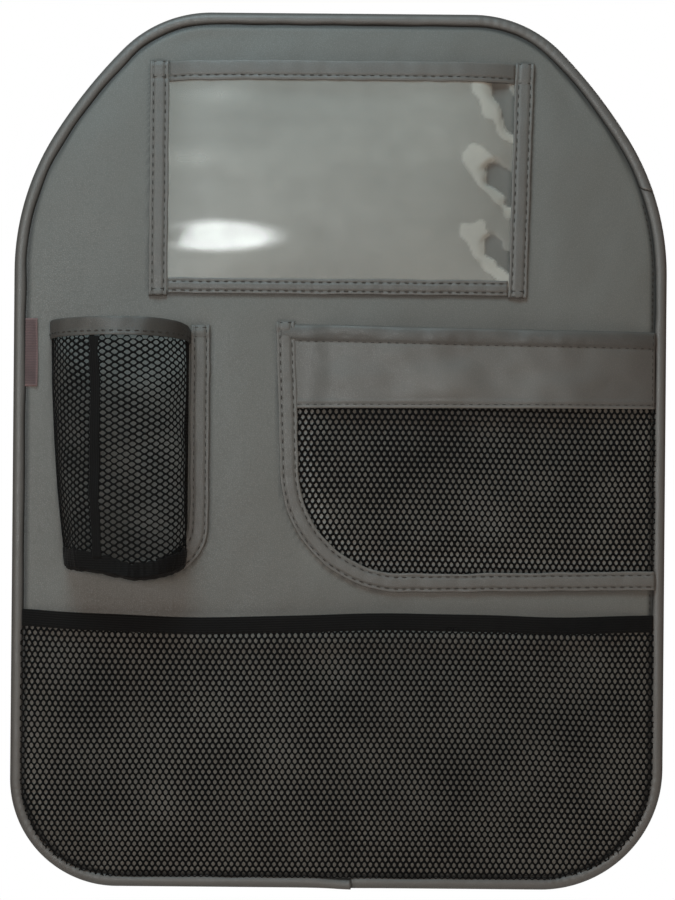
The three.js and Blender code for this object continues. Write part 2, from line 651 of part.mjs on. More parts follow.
const BOTTLE_TOP = ROW_TOP - SIDE_POCKET_SET_DOWN;
const BOTTLE_BAND_FOOT = BOTTLE_TOP - BOTTLE_BAND_HEIGHT;
const BOTTLE_STRIP_FOOT = ROW_FOOT + BOTTLE_RAISE;
const BOTTLE_RIM = BOTTLE_STRIP_FOOT + BOTTLE_BASE_RIM;
const BOTTLE_NET_FOOT = BOTTLE_RIM + BOTTLE_TAPE_HEIGHT + CLEARANCE;
const STRIP_FRONT = COVER_FACE - 2 * STRIP_LEAF - NET_THICKNESS - 2 * CLEARANCE;

// The wall of the bottle pocket seen from above, at its mouth: out along the gusset to the seam, round the
// front and back to the cover beside the strip.
function bottlePlan() {
  const front = COVER_FACE - BOTTLE_DEPTH;
  const right = BOTTLE_RIGHT - BOTTLE_EDGE_SET_IN;
  const left = new THREE.Vector2(BOTTLE_LEFT, COVER_FACE - CLEARANCE);
  const bow = new THREE.Vector2(BOTTLE_LEFT, COVER_FACE - BOTTLE_DEPTH * 0.65);
  const seam = new THREE.Vector2(BOTTLE_LEFT + BOTTLE_GUSSET_SPREAD, front + BOTTLE_DEPTH * 0.08);
  const brow = new THREE.Vector2(seam.x + BOTTLE_WIDTH * 0.16, front - BOTTLE_DEPTH * 0.06);
  const cheek = new THREE.Vector2(right - BOTTLE_WIDTH * 0.06, front);
  const turn = new THREE.Vector2(right, COVER_FACE - BOTTLE_DEPTH * 0.4);
  const path = new THREE.CurvePath();
  path.add(new THREE.QuadraticBezierCurve(left, bow, seam));
  path.add(new THREE.CubicBezierCurve(seam, brow, cheek, turn));
  path.add(new THREE.LineCurve(turn, new THREE.Vector2(right, COVER_FACE - CLEARANCE)));
  return path;
}

const PLAN = bottlePlan();
const PLAN_LENGTH = PLAN.getLength();
const PLAN_TABLE = PLAN.getSpacedPoints(PLAN_POINTS);
const SEAM_SHARE = PLAN.curves[0].getLength() / PLAN_LENGTH;

// A point of the plan and its outward normal, at a share of its length.
function planPoint(share) {
  const last = PLAN_TABLE.length - 1;
  const at = THREE.MathUtils.clamp(share, 0, 1) * last;
  const index = Math.min(last - 1, Math.floor(at));
  const normalAt = (k) => {
    const before = PLAN_TABLE[Math.max(0, k - 1)];
    const after = PLAN_TABLE[Math.min(last, k + 1)];
    return new THREE.Vector2(after.y - before.y, before.x - after.x).normalize();
  };
  const point = PLAN_TABLE[index].clone().lerp(PLAN_TABLE[index + 1], at - index);
  const normal = normalAt(index).lerp(normalAt(index + 1), at - index).normalize();
  return { point, normal };
}

// How far the strip's inner edge has curved in at a height, below the start of its corner.
function stripCurve(z) {
  const radius = BOTTLE_STRIP_RADIUS - STRIP_WIDTH;
  const below = Math.max(0, BOTTLE_STRIP_FOOT + BOTTLE_STRIP_RADIUS - z);
  return radius - Math.sqrt(Math.max(0, radius ** 2 - below ** 2));
}

// A point of the bottle pocket's wall: along the plan, at a height, and a distance out from its inner face. The
// left side draws in towards the foot, and the back edge on the right follows the curve of the strip.
function bottleWall(share, z, out) {
  const { point, normal } = planPoint(share);
  const down = THREE.MathUtils.clamp((BOTTLE_TOP - z) / (BOTTLE_TOP - BOTTLE_STRIP_FOOT), 0, 1);
  const leftward = (BOTTLE_RIGHT - point.x) / BOTTLE_WIDTH;
  const drawnIn = BOTTLE_TAPER * down ** 2.1 * leftward ** 3;
  const depth = COVER_FACE - point.y;
  const onRight = share > SEAM_SHARE ? 1 - THREE.MathUtils.smoothstep(depth, STRIP_WIDTH / 3, STRIP_WIDTH) : 0;
  const x = point.x + drawnIn - stripCurve(z) * onRight + normal.x * out;
  return new THREE.Vector3(x, point.y + normal.y * out, z);
}

function bottleNet() {
  const top = BOTTLE_BAND_FOOT - CLEARANCE;
  const foot = BOTTLE_NET_FOOT;
  const corners = [
    new THREE.Vector2(0, foot),
    new THREE.Vector2(PLAN_LENGTH, foot),
    new THREE.Vector2(PLAN_LENGTH, top),
    new THREE.Vector2(0, top),
  ];
  const outline = subdivided(corners, NET_PITCH / 5);
  return net(outline, (s, z, d) => bottleWall(s / PLAN_LENGTH, z, d));
}

// A band that follows the wall between two heights and two shares of the plan.
function wallBand(from, to, foot, top, inner, thickness, columns) {
  const surface = (out) => (u, v) =>
    bottleWall(THREE.MathUtils.lerp(from, to, u), THREE.MathUtils.lerp(foot, top, v), out);
  const rows = Math.max(1, Math.round((top - foot) / NET_PITCH));
  return shell(columns, rows, surface(inner + thickness), surface(inner));
}

const bottleTopBand = () =>
  wallBand(0, 1, BOTTLE_BAND_FOOT, BOTTLE_TOP, 0, BOTTLE_BAND_THICKNESS, PLAN_POINTS);

function bottleSeamTape() {
  const half = BOTTLE_SEAM_WIDTH / 2 / PLAN_LENGTH;
  const inner = NET_THICKNESS + CLEARANCE;
  const top = BOTTLE_BAND_FOOT - CLEARANCE;
  return wallBand(SEAM_SHARE - half, SEAM_SHARE + half, BOTTLE_NET_FOOT, top, inner, BOTTLE_TAPE_THICKNESS, 4);
}

const bottleBaseTape = () =>
  wallBand(0, 1, BOTTLE_RIM, BOTTLE_RIM + BOTTLE_TAPE_HEIGHT, 0, NET_THICKNESS, PLAN_POINTS);

// The shares of the plan between which the wall stands clear of the strip.
const CLEAR_OF_STRIP = PLAN_TABLE.map((p, k) => (p.y < STRIP_FRONT - CLEARANCE ? k / PLAN_POINTS : -1)).filter(
  (share) => share >= 0,
);

// The base closes the pocket below the wall: it sags below its rim and runs back to the strip.
function bottleBase() {
  const start = CLEAR_OF_STRIP[1];
  const end = CLEAR_OF_STRIP.at(-2);
  const lip = Math.sqrt(Math.sin(Math.PI * 0.04));
  const surface = (out) => (u, v) => {
    const rim = bottleWall(THREE.MathUtils.lerp(start, end, u), BOTTLE_RIM, 0);
    const back = STRIP_FRONT - CLEARANCE;
    const bow = Math.sqrt(Math.sin(Math.PI * (0.04 + v * 0.8)));
    const sag = (BOTTLE_BASE_SAG * (bow - lip)) / (1 - lip);
    const side = Math.sqrt(Math.sin(Math.PI * THREE.MathUtils.lerp(0.03, 0.97, u)));
    const z = BOTTLE_RIM - CLEARANCE - sag * side - out;
    return new THREE.Vector3(rim.x, THREE.MathUtils.lerp(rim.y, back, v), z);
  };
  return shell(POCKET_COLUMNS, 8, surface(BOTTLE_BASE_THICKNESS), surface(0));
}

// The strip at the right of the bottle pocket, turned in under its base.
function bottleSideStrip() {
  const radius = BOTTLE_STRIP_RADIUS;
  const start = { x: BOTTLE_STRIP_OUTER - radius - BOTTLE_STRIP_TAIL, z: BOTTLE_STRIP_FOOT };
  const path = walk(start, 0, [
    { straight: BOTTLE_STRIP_TAIL },
    { radius, turn: Math.PI / 2 },
    { straight: BOTTLE_TOP - BOTTLE_STRIP_FOOT - radius },
  ]);
  return sweep(path, foldedStrip(STRIP_WIDTH, NET_THICKNESS));
}

// Tag in the left seam, and the straps across the back

function rectangle(left, foot, width, height) {
  const corners = [
    [left, foot],
    [left + width, foot],
    [left + width, foot + height],
    [left, foot + height],
  ];
  return corners.map(([x, z]) => new THREE.Vector2(x, z));
}

const TAG_FOOT = PANEL_TOP - TAG_DROP - TAG_HEIGHT;
const tag = () =>
  sheet(rectangle(-INNER_HALF_WIDTH, TAG_FOOT, TAG_WIDTH, TAG_HEIGHT), COVER_FACE, TAG_THICKNESS);

function solidOf(geometry) {
  const bare = new THREE.BufferGeometry().setAttribute("position", geometry.getAttribute("position"));
  if (geometry.index) bare.setIndex(geometry.index);
  const merged = mergeVertices(bare, 1e-4);
  return new wasm.Manifold(
    new wasm.Mesh({
      numProp: 3,
      vertProperties: merged.getAttribute("position").array,
      triVerts: new Uint32Array(merged.index.array),
    }),
  );
}

function geometryOf(solid) {
  const made = solid.getMesh();
  return new THREE.BufferGeometry()
    .setAttribute("position", new THREE.BufferAttribute(new Float32Array(made.vertProperties), 3))
    .setIndex(new THREE.BufferAttribute(new Uint32Array(made.triVerts), 1));
}

// A strap across the back, its ends cut to the inner edge of the binding.
function strap(foot) {
  const whole = rectangle(-PANEL_WIDTH / 2, foot, PANEL_WIDTH, STRAP_WIDTH);
  const band = sheet(whole, STRAP_THICKNESS, STRAP_THICKNESS);
  const field = sheet(panelOutline(BINDING_INNER), 2 * STRAP_THICKNESS, 3 * STRAP_THICKNESS);
  return geometryOf(solidOf(band).intersect(solidOf(field)));
}

const parts = {
  front_cover: [panelLayer(CORE_FACE, COVER_THICKNESS), LEATHERETTE],
  foam_core: [panelLayer(LINING_FACE, CORE_THICKNESS), FOAM],
  back_lining: [backLining(), BLACK_LINING],
  edge_binding_right: [edgeBindingRight(), BINDING_LEATHERETTE],
  edge_binding_left: [edgeBindingLeft(), BINDING_LEATHERETTE],
  window_sheet: [windowSheet(), CLEAR_PVC],
  window_top_hem: [windowTopHem(), LEATHERETTE],
  window_foot_strip: [windowFootStrip(), LEATHERETTE],
  window_left_strip: [windowLeftStrip(), LEATHERETTE],
  window_right_strip: [windowRightStrip(), LEATHERETTE],
  bottle_net: [bottleNet(), BLACK_NET],
  bottle_top_band: [bottleTopBand(), LEATHERETTE],
  bottle_side_strip: [bottleSideStrip(), LEATHERETTE],
  bottle_seam_tape: [bottleSeamTape(), BLACK_ELASTIC],
  bottle_base: [bottleBase(), BLACK_NET],
  bottle_base_tape: [bottleBaseTape(), BLACK_ELASTIC],
  side_pocket_panel: [sidePocketPanel(), LEATHERETTE],
  side_pocket_net: [sidePocketNet(), BLACK_NET],
  side_pocket_strip: [sidePocketStrip(), LEATHERETTE],
  lower_net: [lowerNet(), BLACK_NET],
  lower_elastic: [lowerElastic(), BLACK_ELASTIC],
  seam_tag: [tag(), CLEAR_PVC],
  headrest_strap: [strap(HEADREST_STRAP_FOOT), BLACK_ELASTIC],
  seat_strap: [strap(SEAT_STRAP_FOOT), BLACK_ELASTIC],
};

const organiser = new THREE.Group();
for (const [name, [geometry, material]] of Object.entries(parts)) {
  const mesh = new THREE.Mesh(geometry, material);
  mesh.name = name;
  organiser.add(mesh);
}

export default organiser;
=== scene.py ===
"""Car seat back organizer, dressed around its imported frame.

Inside the classes lengths are millimetres in the frame of the solids: X to the right as seen from the
front, Z up, and the front facing -Y from the back face on y = 0. Meshes are written in metres.
"""

from __future__ import annotations

import logging
import math
import sys
from collections.abc import Callable, Sequence
from dataclasses import dataclass, field
from enum import Enum

import bpy
import numpy as np
from mathutils import Euler, Matrix, Vector


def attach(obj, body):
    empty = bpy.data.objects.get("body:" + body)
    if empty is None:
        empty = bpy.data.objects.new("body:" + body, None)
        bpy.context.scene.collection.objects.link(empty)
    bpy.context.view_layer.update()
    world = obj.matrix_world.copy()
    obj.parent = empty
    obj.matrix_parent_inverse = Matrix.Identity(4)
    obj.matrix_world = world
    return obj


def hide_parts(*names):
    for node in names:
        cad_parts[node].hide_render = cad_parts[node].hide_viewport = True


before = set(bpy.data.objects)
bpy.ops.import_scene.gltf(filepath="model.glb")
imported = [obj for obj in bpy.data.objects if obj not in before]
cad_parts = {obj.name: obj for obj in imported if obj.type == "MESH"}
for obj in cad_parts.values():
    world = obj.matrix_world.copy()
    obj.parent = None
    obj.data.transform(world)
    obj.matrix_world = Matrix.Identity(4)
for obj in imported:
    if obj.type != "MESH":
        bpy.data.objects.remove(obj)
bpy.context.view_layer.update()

MM = 0.001
FRONT = np.array([0.0, -1.0, 0.0])
SEAM_PITCH = 4.6
HEM_PITCH = 5.6
GOLDEN_ANGLE = 2.399963
FULL_TURN = 6.2832
LOG = logging.getLogger("organizer")
Array = np.ndarray
Lift = Callable[[Array, Array], Array]
Colour = tuple[float, float, float, float]


# Numbers and curves


def smoothstep(value: Array, low: float, high: float) -> Array:
    """The cubic 3t^2 - 2t^3 of t, where t runs from 0 at low to 1 at high and is held at both ends."""
    t = np.clip((value - low) / (high - low), 0.0, 1.0)
    return t * t * (3.0 - 2.0 * t)


def bell(distance: Array, width: float) -> Array:
    """The bell curve exp(-(distance / width)^2)."""
    return np.exp(-((distance / width) ** 2))


def ripple(x: Array, z: Array, wavelength: float, seed: int) -> Array:
    """A soft uneven surface between about -1 and 1.

    It is the scaled sum of seven plane sine waves whose directions are turned by the golden angle, whose
    lengths spread round the wavelength, and whose phases come from the seed.

    Args:
        x: First coordinate.
        z: Second coordinate.
        wavelength: Typical distance from crest to crest.
        seed: Number that sets the phases.

    Returns:
        The height at each point.
    """
    total = np.zeros(np.broadcast(x, z).shape)
    waves = 7
    for k in range(waves):
        turn = GOLDEN_ANGLE * (k + seed)
        phase = 4.1 * k + 1.7 * seed
        stretch = wavelength * (0.65 + 0.14 * k)
        along = x * math.cos(turn) + z * math.sin(turn)
        total += np.sin(2.0 * math.pi * along / stretch + phase)
    return total / math.sqrt(waves)


def together(*coordinates: Array | float) -> Array:
    """Coordinates spread to one shape and set side by side along a new last axis."""
    return np.stack(np.broadcast_arrays(*coordinates), axis=-1)


def run_along(line: Array) -> Array:
    """The distance run at each point of a polyline."""
    return np.concatenate([[0.0], np.cumsum(np.linalg.norm(np.diff(line, axis=0), axis=1))])


def inside_of(line: Array, x: Array, z: Array) -> Array:
    """How far points are to the left of a polyline that bulges outwards: the least distance to its sides.

    Args:
        line: Polyline, (m, 2).
        x: First coordinate of the points.
        z: Second coordinate.

    Returns:
        The distances, negative on the right of the line.
    """
    least = np.full(np.shape(x), np.inf)
    for a, b in zip(line[:-1], line[1:]):
        d = b - a
        length = math.hypot(*d)
        if length > 1e-6:
            least = np.minimum(least, (d[0] * (z - a[1]) - d[1] * (x - a[0])) / length)
    return least


@dataclass(frozen=True)
class Straight:
    """A straight length of a path."""

    length: float


@dataclass(frozen=True)
class Arc:
    """A left-hand arc of a path, of a radius through an angle in radians."""

    radius: float
    turn: float


@dataclass(frozen=True)
class Path:
    """A path in the panel's plane, with its right-hand normals and the distance run at each point."""

    points: Array
    normals: Array
    run: Array

    @property
    def length(self) -> float:
        """The whole distance run."""
        return float(self.run[-1])

    def offset(self, inward: float) -> Array:
        """The path moved to its left by a distance."""
        return self.points - self.normals * inward

    def at(self, run: Array) -> tuple[Array, Array]:
        """Points and normals at given distances along the path.

        Args:
            run: Distances from the start.

        Returns:
            The points and the unit normals there.
        """
        points = np.stack([np.interp(run, self.run, self.points[:, k]) for k in range(2)], axis=1)
        normals = np.stack([np.interp(run, self.run, self.normals[:, k]) for k in range(2)], axis=1)
        return points, normals / np.linalg.norm(normals, axis=1, keepdims=True)

    def between(self, start: float, end: float, step: float) -> Path:
        """The part of the path between two distances, at an even step.

        Args:
            start: Distance at the new start.
            end: Distance at the new end.
            step: Greatest distance between neighbouring points.

        Returns:
            The part as a path of its own, whose distances keep the old start.
        """
        run = np.linspace(start, end, max(2, int(math.ceil((end - start) / step)) + 1))
        points, normals = self.at(run)
        return Path(points, normals, run)


def walk(start: tuple[float, float], heading: float, moves: Sequence[Straight | Arc], step: float) -> Path:
    """A path of straights and left-hand arcs.

    On an arc of radius r the heading h grows evenly, and the point is the arc's centre plus
    r (sin h, -cos h).

    Args:
        start: First point, x and z.
        heading: Direction at the start in radians, anticlockwise from +X as seen from the front.
        moves: The straights and arcs in order.
        step: Greatest distance between neighbouring points.

    Returns:
        The path.
    """
    x, z = start
    points = [np.array([[x, z]])]
    headings = [np.array([heading])]
    for move in moves:
        length = move.length if isinstance(move, Straight) else move.radius * move.turn
        share = np.linspace(0.0, 1.0, max(1, int(math.ceil(length / step))) + 1)[1:]
        if isinstance(move, Straight):
            turned = np.full(len(share), heading)
            xs = x + math.cos(heading) * move.length * share
            zs = z + math.sin(heading) * move.length * share
        else:
            turned = heading + move.turn * share
            xs = x - math.sin(heading) * move.radius + np.sin(turned) * move.radius
            zs = z + math.cos(heading) * move.radius - np.cos(turned) * move.radius
        points.append(np.stack([xs, zs], axis=1))
        headings.append(turned)
        x, z, heading = float(xs[-1]), float(zs[-1]), float(turned[-1])
    line = np.concatenate(points)
    direction = np.concatenate(headings)
    normals = np.stack([np.sin(direction), -np.cos(direction)], axis=1)
    return Path(line, normals, run_along(line))


def distance_to(x: Array, z: Array, line: Array) -> Array:
    """The least distance from each point to a polyline.

    Each point is projected on every segment, the projection is held between the segment's ends, and the
    least of the distances is kept.

    Args:
        x: First coordinate of the points.
        z: Second coordinate.
        line: Polyline, (m, 2).

    Returns:
        The distances, in the shape of x.
    """
    start, along = line[:-1], np.diff(line, axis=0)
    square = np.maximum((along**2).sum(axis=1), 1e-12)
    least = np.full(np.shape(x), np.inf)
    for a, d, q in zip(start, along, square):
        share = np.clip(((x - a[0]) * d[0] + (z - a[1]) * d[1]) / q, 0.0, 1.0)
        least = np.minimum(least, np.hypot(x - a[0] - share * d[0], z - a[1] - share * d[1]))
    return least


# Meshes


@dataclass
class Body:
    """Points in millimetres, the faces over them, and what the materials read at each point.

    uv is a position along the cloth in millimetres, and wear_and_light is 1 on folds and crests that rub
    and on painted highlights and painted light, and 0 elsewhere.
    """

    points: Array
    faces: list[Array]
    uv: Array | None = None
    wear_and_light: Array | None = None
    marks: dict[str, Array] = field(default_factory=dict)

    def volume(self) -> float:
        """Six times the signed volume: the sum over all faces, cut into fans, of a . (b x c).

        Returns:
            The sum, positive when the faces look outwards.
        """
        total = 0.0
        for group in self.faces:
            corner = self.points[group]
            for k in range(1, group.shape[1] - 1):
                cross = np.cross(corner[:, k], corner[:, k + 1])
                total += float((corner[:, 0] * cross).sum())
        return total

    def outward(self) -> Body:
        """The same body with its faces turned outwards."""
        if self.volume() < 0:
            self.faces = [group[:, ::-1] for group in self.faces]
        return self


def lattice(rows: int, columns: int, closed: bool = False) -> Array:
    """Quads over a grid of points numbered row by row.

    Args:
        rows: Number of rows of points.
        columns: Number of points in a row.
        closed: Whether the last column joins the first.

    Returns:
        Corner numbers, (faces, 4).
    """
    row = np.arange(rows - 1)[:, None]
    column = np.arange(columns if closed else columns - 1)[None, :]
    right = (column + 1) % columns
    low, high = row * columns, (row + 1) * columns
    corners = [low + column, low + right, high + right, high + column]
    return np.stack([np.broadcast_to(c, (rows - 1, column.size)).ravel() for c in corners], axis=1)


def slab(front: Array, back: Array, uv: Array, wear_and_light: Array | None = None) -> Body:
    """A closed sheet between two grids of points.

    Args:
        front: Front surface, (rows, columns, 3).
        back: Back surface, the same size.
        uv: Position along the cloth, (rows, columns, 2).
        wear_and_light: Paling of the front surface by wear and by painted light, (rows, columns).

    Returns:
        The closed body.
    """
    rows, columns = front.shape[:2]
    count = rows * columns
    number = np.arange(count).reshape(rows, columns)
    rim = np.concatenate([number[0, :-1], number[:-1, -1], number[-1, :0:-1], number[:0:-1, 0]])
    following = np.roll(rim, -1)
    faces = [
        lattice(rows, columns),
        lattice(rows, columns)[:, ::-1] + count,
        np.stack([rim, rim + count, following + count, following], axis=1),
    ]
    paleness = np.zeros((rows, columns)) if wear_and_light is None else wear_and_light
    return Body(
        np.concatenate([front.reshape(-1, 3), back.reshape(-1, 3)]),
        faces,
        np.concatenate([uv.reshape(-1, 2)] * 2),
        np.concatenate([paleness.ravel(), paleness.ravel()]),
    ).outward()


def tube(rings: Array, uv: Array, wear_and_light: Array) -> Body:
    """A closed body through rings of points, with a flat face on each end.

    Args:
        rings: Points, (stations, points of the section, 3).
        uv: Position along the cloth, (stations, points, 2).
        wear_and_light: Paling by wear and by painted light, (stations, points).

    Returns:
        The closed body.
    """
    stations, count = rings.shape[:2]
    last = (stations - 1) * count
    ends = np.stack([np.arange(count)[::-1], last + np.arange(count)])
    return Body(
        rings.reshape(-1, 3),
        [lattice(stations, count, closed=True), ends],
        uv.reshape(-1, 2),
        wear_and_light.ravel(),
    ).outward()


"""The record's slot for each material that has one."""


def make_piece(
    name: str, body: Body, material: bpy.types.Material, replaces: Sequence[str] = ()
) -> bpy.types.Object:
    """Puts a body into a mesh object that rides on the root body.

    Args:
        name: Name of the piece.
        body: Points, faces and what the material reads.
        material: Its finish.
        replaces: Names of the solids that the piece stands for.

    Returns:
        The new object.
    """
    mesh = bpy.data.meshes.new(name)
    groups = [np.ascontiguousarray(group) for group in body.faces if len(group)]
    loops = np.concatenate([group.ravel() for group in groups]).astype(np.int32)
    totals = np.concatenate([np.full(len(group), group.shape[1]) for group in groups]).astype(np.int32)
    mesh.vertices.add(len(body.points))
    mesh.vertices.foreach_set("co", (body.points * MM).astype(np.float32).ravel())
    mesh.loops.add(len(loops))
    mesh.loops.foreach_set("vertex_index", loops)
    mesh.polygons.add(len(totals))
    mesh.polygons.foreach_set("loop_start", np.concatenate([[0], np.cumsum(totals)[:-1]]).astype(np.int32))
    mesh.polygons.foreach_set("use_smooth", np.ones(len(totals), dtype=bool))
    if body.uv is not None:
        layer = mesh.uv_layers.new(name="Cloth")
        layer.uv.foreach_set("vector", (body.uv[loops] * MM).astype(np.float32).ravel())
    for mark, values in {"wear_and_light": body.wear_and_light, **body.marks}.items():
        if values is not None:
            mesh.attributes.new(mark, "FLOAT", "POINT").data.foreach_set("value", values.astype(np.float32))
    mesh.update(calc_edges=True)
    mesh.validate()
    mesh.materials.append(material)
    piece = bpy.data.objects.new(name, mesh)
    bpy.context.scene.collection.objects.link(piece)
    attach(piece, "root")
    if replaces:
        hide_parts(*replaces)
    LOG.info("%s: %d points, %d faces", name, len(body.points), len(totals))
    return piece


# Finishes


Socket = bpy.types.NodeSocket


class Graph:
    """A node tree with short ways to add and join nodes."""

    def __init__(self, tree: bpy.types.NodeTree) -> None:
        """Keeps the tree that the nodes go into."""
        self.tree = tree

    def add(self, kind: str, settings: dict[str, object] | None = None, **inputs: object) -> bpy.types.Node:
        """Adds a node.

        Args:
            kind: Type of the node, without its ShaderNode prefix.
            settings: Properties of the node.
            **inputs: Values or sockets for its inputs, by name with _ for a space.

        Returns:
            The new node.
        """
        node = self.tree.nodes.new("ShaderNode" + kind)
        for key, value in (settings or {}).items():
            setattr(node, key, value)
        for key, value in inputs.items():
            self.feed(node.inputs[key.replace("_", " ")], value)
        return node

    def feed(self, socket: Socket, value: object) -> None:
        """Joins a socket to an input, or sets the input's own value."""
        if isinstance(value, bpy.types.NodeSocket):
            self.tree.links.new(value, socket)
        else:
            socket.default_value = value

    def math(self, operation: str, *values: object, clamp: bool = False) -> Socket:
        """The result of a Math node on values or sockets.

        Args:
            operation: Name of the operation.
            *values: Numbers or sockets to work on.
            clamp: Whether the result is held between 0 and 1.

        Returns:
            The node's result.
        """
        node = self.tree.nodes.new("ShaderNodeMath")
        node.operation = operation
        node.use_clamp = clamp
        for socket, value in zip(node.inputs, values):
            self.feed(socket, value)
        return node.outputs[0]

    def mix(self, factor: object, first: object, second: object) -> Socket:
        """A colour between two, by a factor.

        Args:
            factor: Share of the second colour.
            first: First colour.
            second: Second colour.

        Returns:
            The mixed colour.
        """
        node = self.tree.nodes.new("ShaderNodeMix")
        node.data_type = "RGBA"
        self.feed(node.inputs[0], factor)
        self.feed(node.inputs[6], first)
        self.feed(node.inputs[7], second)
        return node.outputs[2]

    def between(
        self, value: object, low: float, high: float, to_low: float = 0.0, to_high: float = 1.0
    ) -> Socket:
        """A value carried from one range to another and held at its ends."""
        node = self.tree.nodes.new("ShaderNodeMapRange")
        for socket, number in zip(node.inputs, (value, low, high, to_low, to_high)):
            self.feed(socket, number)
        return node.outputs[0]

    def bump(self, shader: bpy.types.Node, height: Socket, strength: float, distance: float) -> None:
        """Feeds a height to a shader's normal through a Bump node."""
        node = self.add("Bump", Height=height, Strength=strength, Distance=distance)
        self.feed(shader.inputs["Normal"], node.outputs["Normal"])

    def mark(self, name: str) -> Socket:
        """The value that a piece's points hold under a name."""
        return self.add("Attribute", {"attribute_name": name}).outputs["Fac"]


def group(
    name: str, inputs: dict[str, float], outputs: Sequence[str]
) -> tuple[Graph, bpy.types.Node, bpy.types.Node]:
    """A new shader node group whose first input is a vector.

    Args:
        name: Name of the group.
        inputs: Names and first values of its other inputs.
        outputs: Names of its outputs, all plain numbers.

    Returns:
        The group's graph, its input node and its output node.
    """
    tree = bpy.data.node_groups.new(name, "ShaderNodeTree")
    tree.interface.new_socket(name="Vector", in_out="INPUT", socket_type="NodeSocketVector")
    for key, value in inputs.items():
        socket = tree.interface.new_socket(name=key, in_out="INPUT", socket_type="NodeSocketFloat")
        socket.default_value = value
    for key in outputs:
        tree.interface.new_socket(name=key, in_out="OUTPUT", socket_type="NodeSocketFloat")
    return Graph(tree), tree.nodes.new("NodeGroupInput"), tree.nodes.new("NodeGroupOutput")


class Effects:
    """Shader node groups that several finishes share."""

    def __init__(self) -> None:
        """Builds each group once."""
        self.grain = self._grain()
        self.mottle = self._mottle()
        self.ribs = self._ribs()
        self.fibres = self._fibres()

    @staticmethod
    def _grain() -> bpy.types.NodeTree:
        """Pebbled grain: rounded cells parted by creases, broken up by fine noise.

        Returns:
            The group.
        """
        graph, into, out = group("pebble_grain", {"Scale": 800.0, "Fine": 0.35}, ("Height", "Crease"))
        vector, scale = into.outputs["Vector"], into.outputs["Scale"]
        bend = graph.add("TexNoise", Vector=vector, Scale=graph.math("MULTIPLY", scale, 0.35), Detail=2.0)
        offset = graph.add("VectorMath", {"operation": "SCALE"})
        graph.feed(offset.inputs[0], bend.outputs["Color"])
        graph.feed(offset.inputs["Scale"], 0.0008)
        moved = graph.add("VectorMath", {"operation": "ADD"})
        graph.feed(moved.inputs[0], vector)
        graph.feed(moved.inputs[1], offset.outputs[0])
        cells = graph.add("TexVoronoi", {"feature": "DISTANCE_TO_EDGE"}, Vector=moved.outputs[0], Scale=scale)
        dome = graph.between(cells.outputs["Distance"], 0.0, 0.32)
        dome.node.interpolation_type = "SMOOTHSTEP"
        fine = graph.add("TexNoise", Vector=vector, Scale=graph.math("MULTIPLY", scale, 3.1), Detail=3.0)
        share = graph.math("MULTIPLY", fine.outputs["Fac"], into.outputs["Fine"])
        graph.feed(out.inputs["Height"], graph.math("ADD", dome, share))
        graph.feed(out.inputs["Crease"], graph.math("SUBTRACT", 1.0, dome))
        return graph.tree

    @staticmethod
    def _mottle() -> bpy.types.NodeTree:
        """Slow changes of tone: two scales of noise in one factor.

        Returns:
            The group.
        """
        graph, into, out = group("slow_mottle", {"Scale": 9.0, "Contrast": 1.0}, ("Factor",))
        vector, scale = into.outputs["Vector"], into.outputs["Scale"]
        wide = graph.add("TexNoise", Vector=vector, Scale=scale, Detail=2.0)
        close = graph.add("TexNoise", Vector=vector, Scale=graph.math("MULTIPLY", scale, 6.3), Detail=4.0)
        both = graph.math("ADD", wide.outputs["Fac"], graph.math("MULTIPLY", close.outputs["Fac"], 0.45))
        centred = graph.math("SUBTRACT", both, 0.725)
        spread = graph.math("MULTIPLY", centred, into.outputs["Contrast"])
        graph.feed(out.inputs["Factor"], graph.math("ADD", spread, 0.5, clamp=True))
        return graph.tree

    @staticmethod
    def _ribs() -> bpy.types.NodeTree:
        """Woven ribs along the cloth: fine lengthwise cords crossed by the picks of the weft.

        Returns:
            The group.
        """
        graph, into, out = group("woven_ribs", {"Cords": 900.0, "Picks": 1500.0}, ("Height", "Valley"))
        split = graph.add("SeparateXYZ", Vector=into.outputs["Vector"])
        waves = []
        for axis, name in ((1, "Cords"), (0, "Picks")):
            pace = graph.math("MULTIPLY", into.outputs[name], FULL_TURN)
            waves.append(graph.math("SINE", graph.math("MULTIPLY", split.outputs[axis], pace)))
        cord, pick = waves
        cross = graph.math("MULTIPLY", cord, pick)
        height = graph.math("ADD", graph.math("MULTIPLY", cord, 0.3), graph.math("MULTIPLY", cross, 0.2))
        lifted = graph.math("ADD", height, 0.5)
        graph.feed(out.inputs["Height"], lifted)
        graph.feed(out.inputs["Valley"], graph.math("SUBTRACT", 1.0, lifted, clamp=True))
        return graph.tree

    @staticmethod
    def _fibres() -> bpy.types.NodeTree:
        """Pressed fibres: two sets of long noise streaks laid across one another.

        Returns:
            The group.
        """
        graph, into, out = group("pressed_fibres", {"Scale": 260.0}, ("Height",))
        streaks = []
        for turn, stretch in ((0.6, 0.14), (-0.9, 0.18)):
            turned = graph.add("Mapping", Vector=into.outputs["Vector"])
            turned.inputs["Rotation"].default_value = (0.0, turn, 0.0)
            turned.inputs["Scale"].default_value = (1.0, 1.0, stretch)
            noise = graph.add("TexNoise", Vector=turned.outputs[0], Scale=into.outputs["Scale"], Detail=4.0)
            streaks.append(noise.outputs["Fac"])
        graph.feed(out.inputs["Height"], graph.math("MAXIMUM", *streaks))
        return graph.tree


def srgb(red: float, green: float, blue: float) -> Colour:
    """A colour from its values of 0 to 255 on screen, as linear light with full cover."""
    channels = [c / 255.0 for c in (red, green, blue)]
    linear = [c / 12.92 if c <= 0.04045 else ((c + 0.055) / 1.055) ** 2.4 for c in channels]
    return (linear[0], linear[1], linear[2], 1.0)


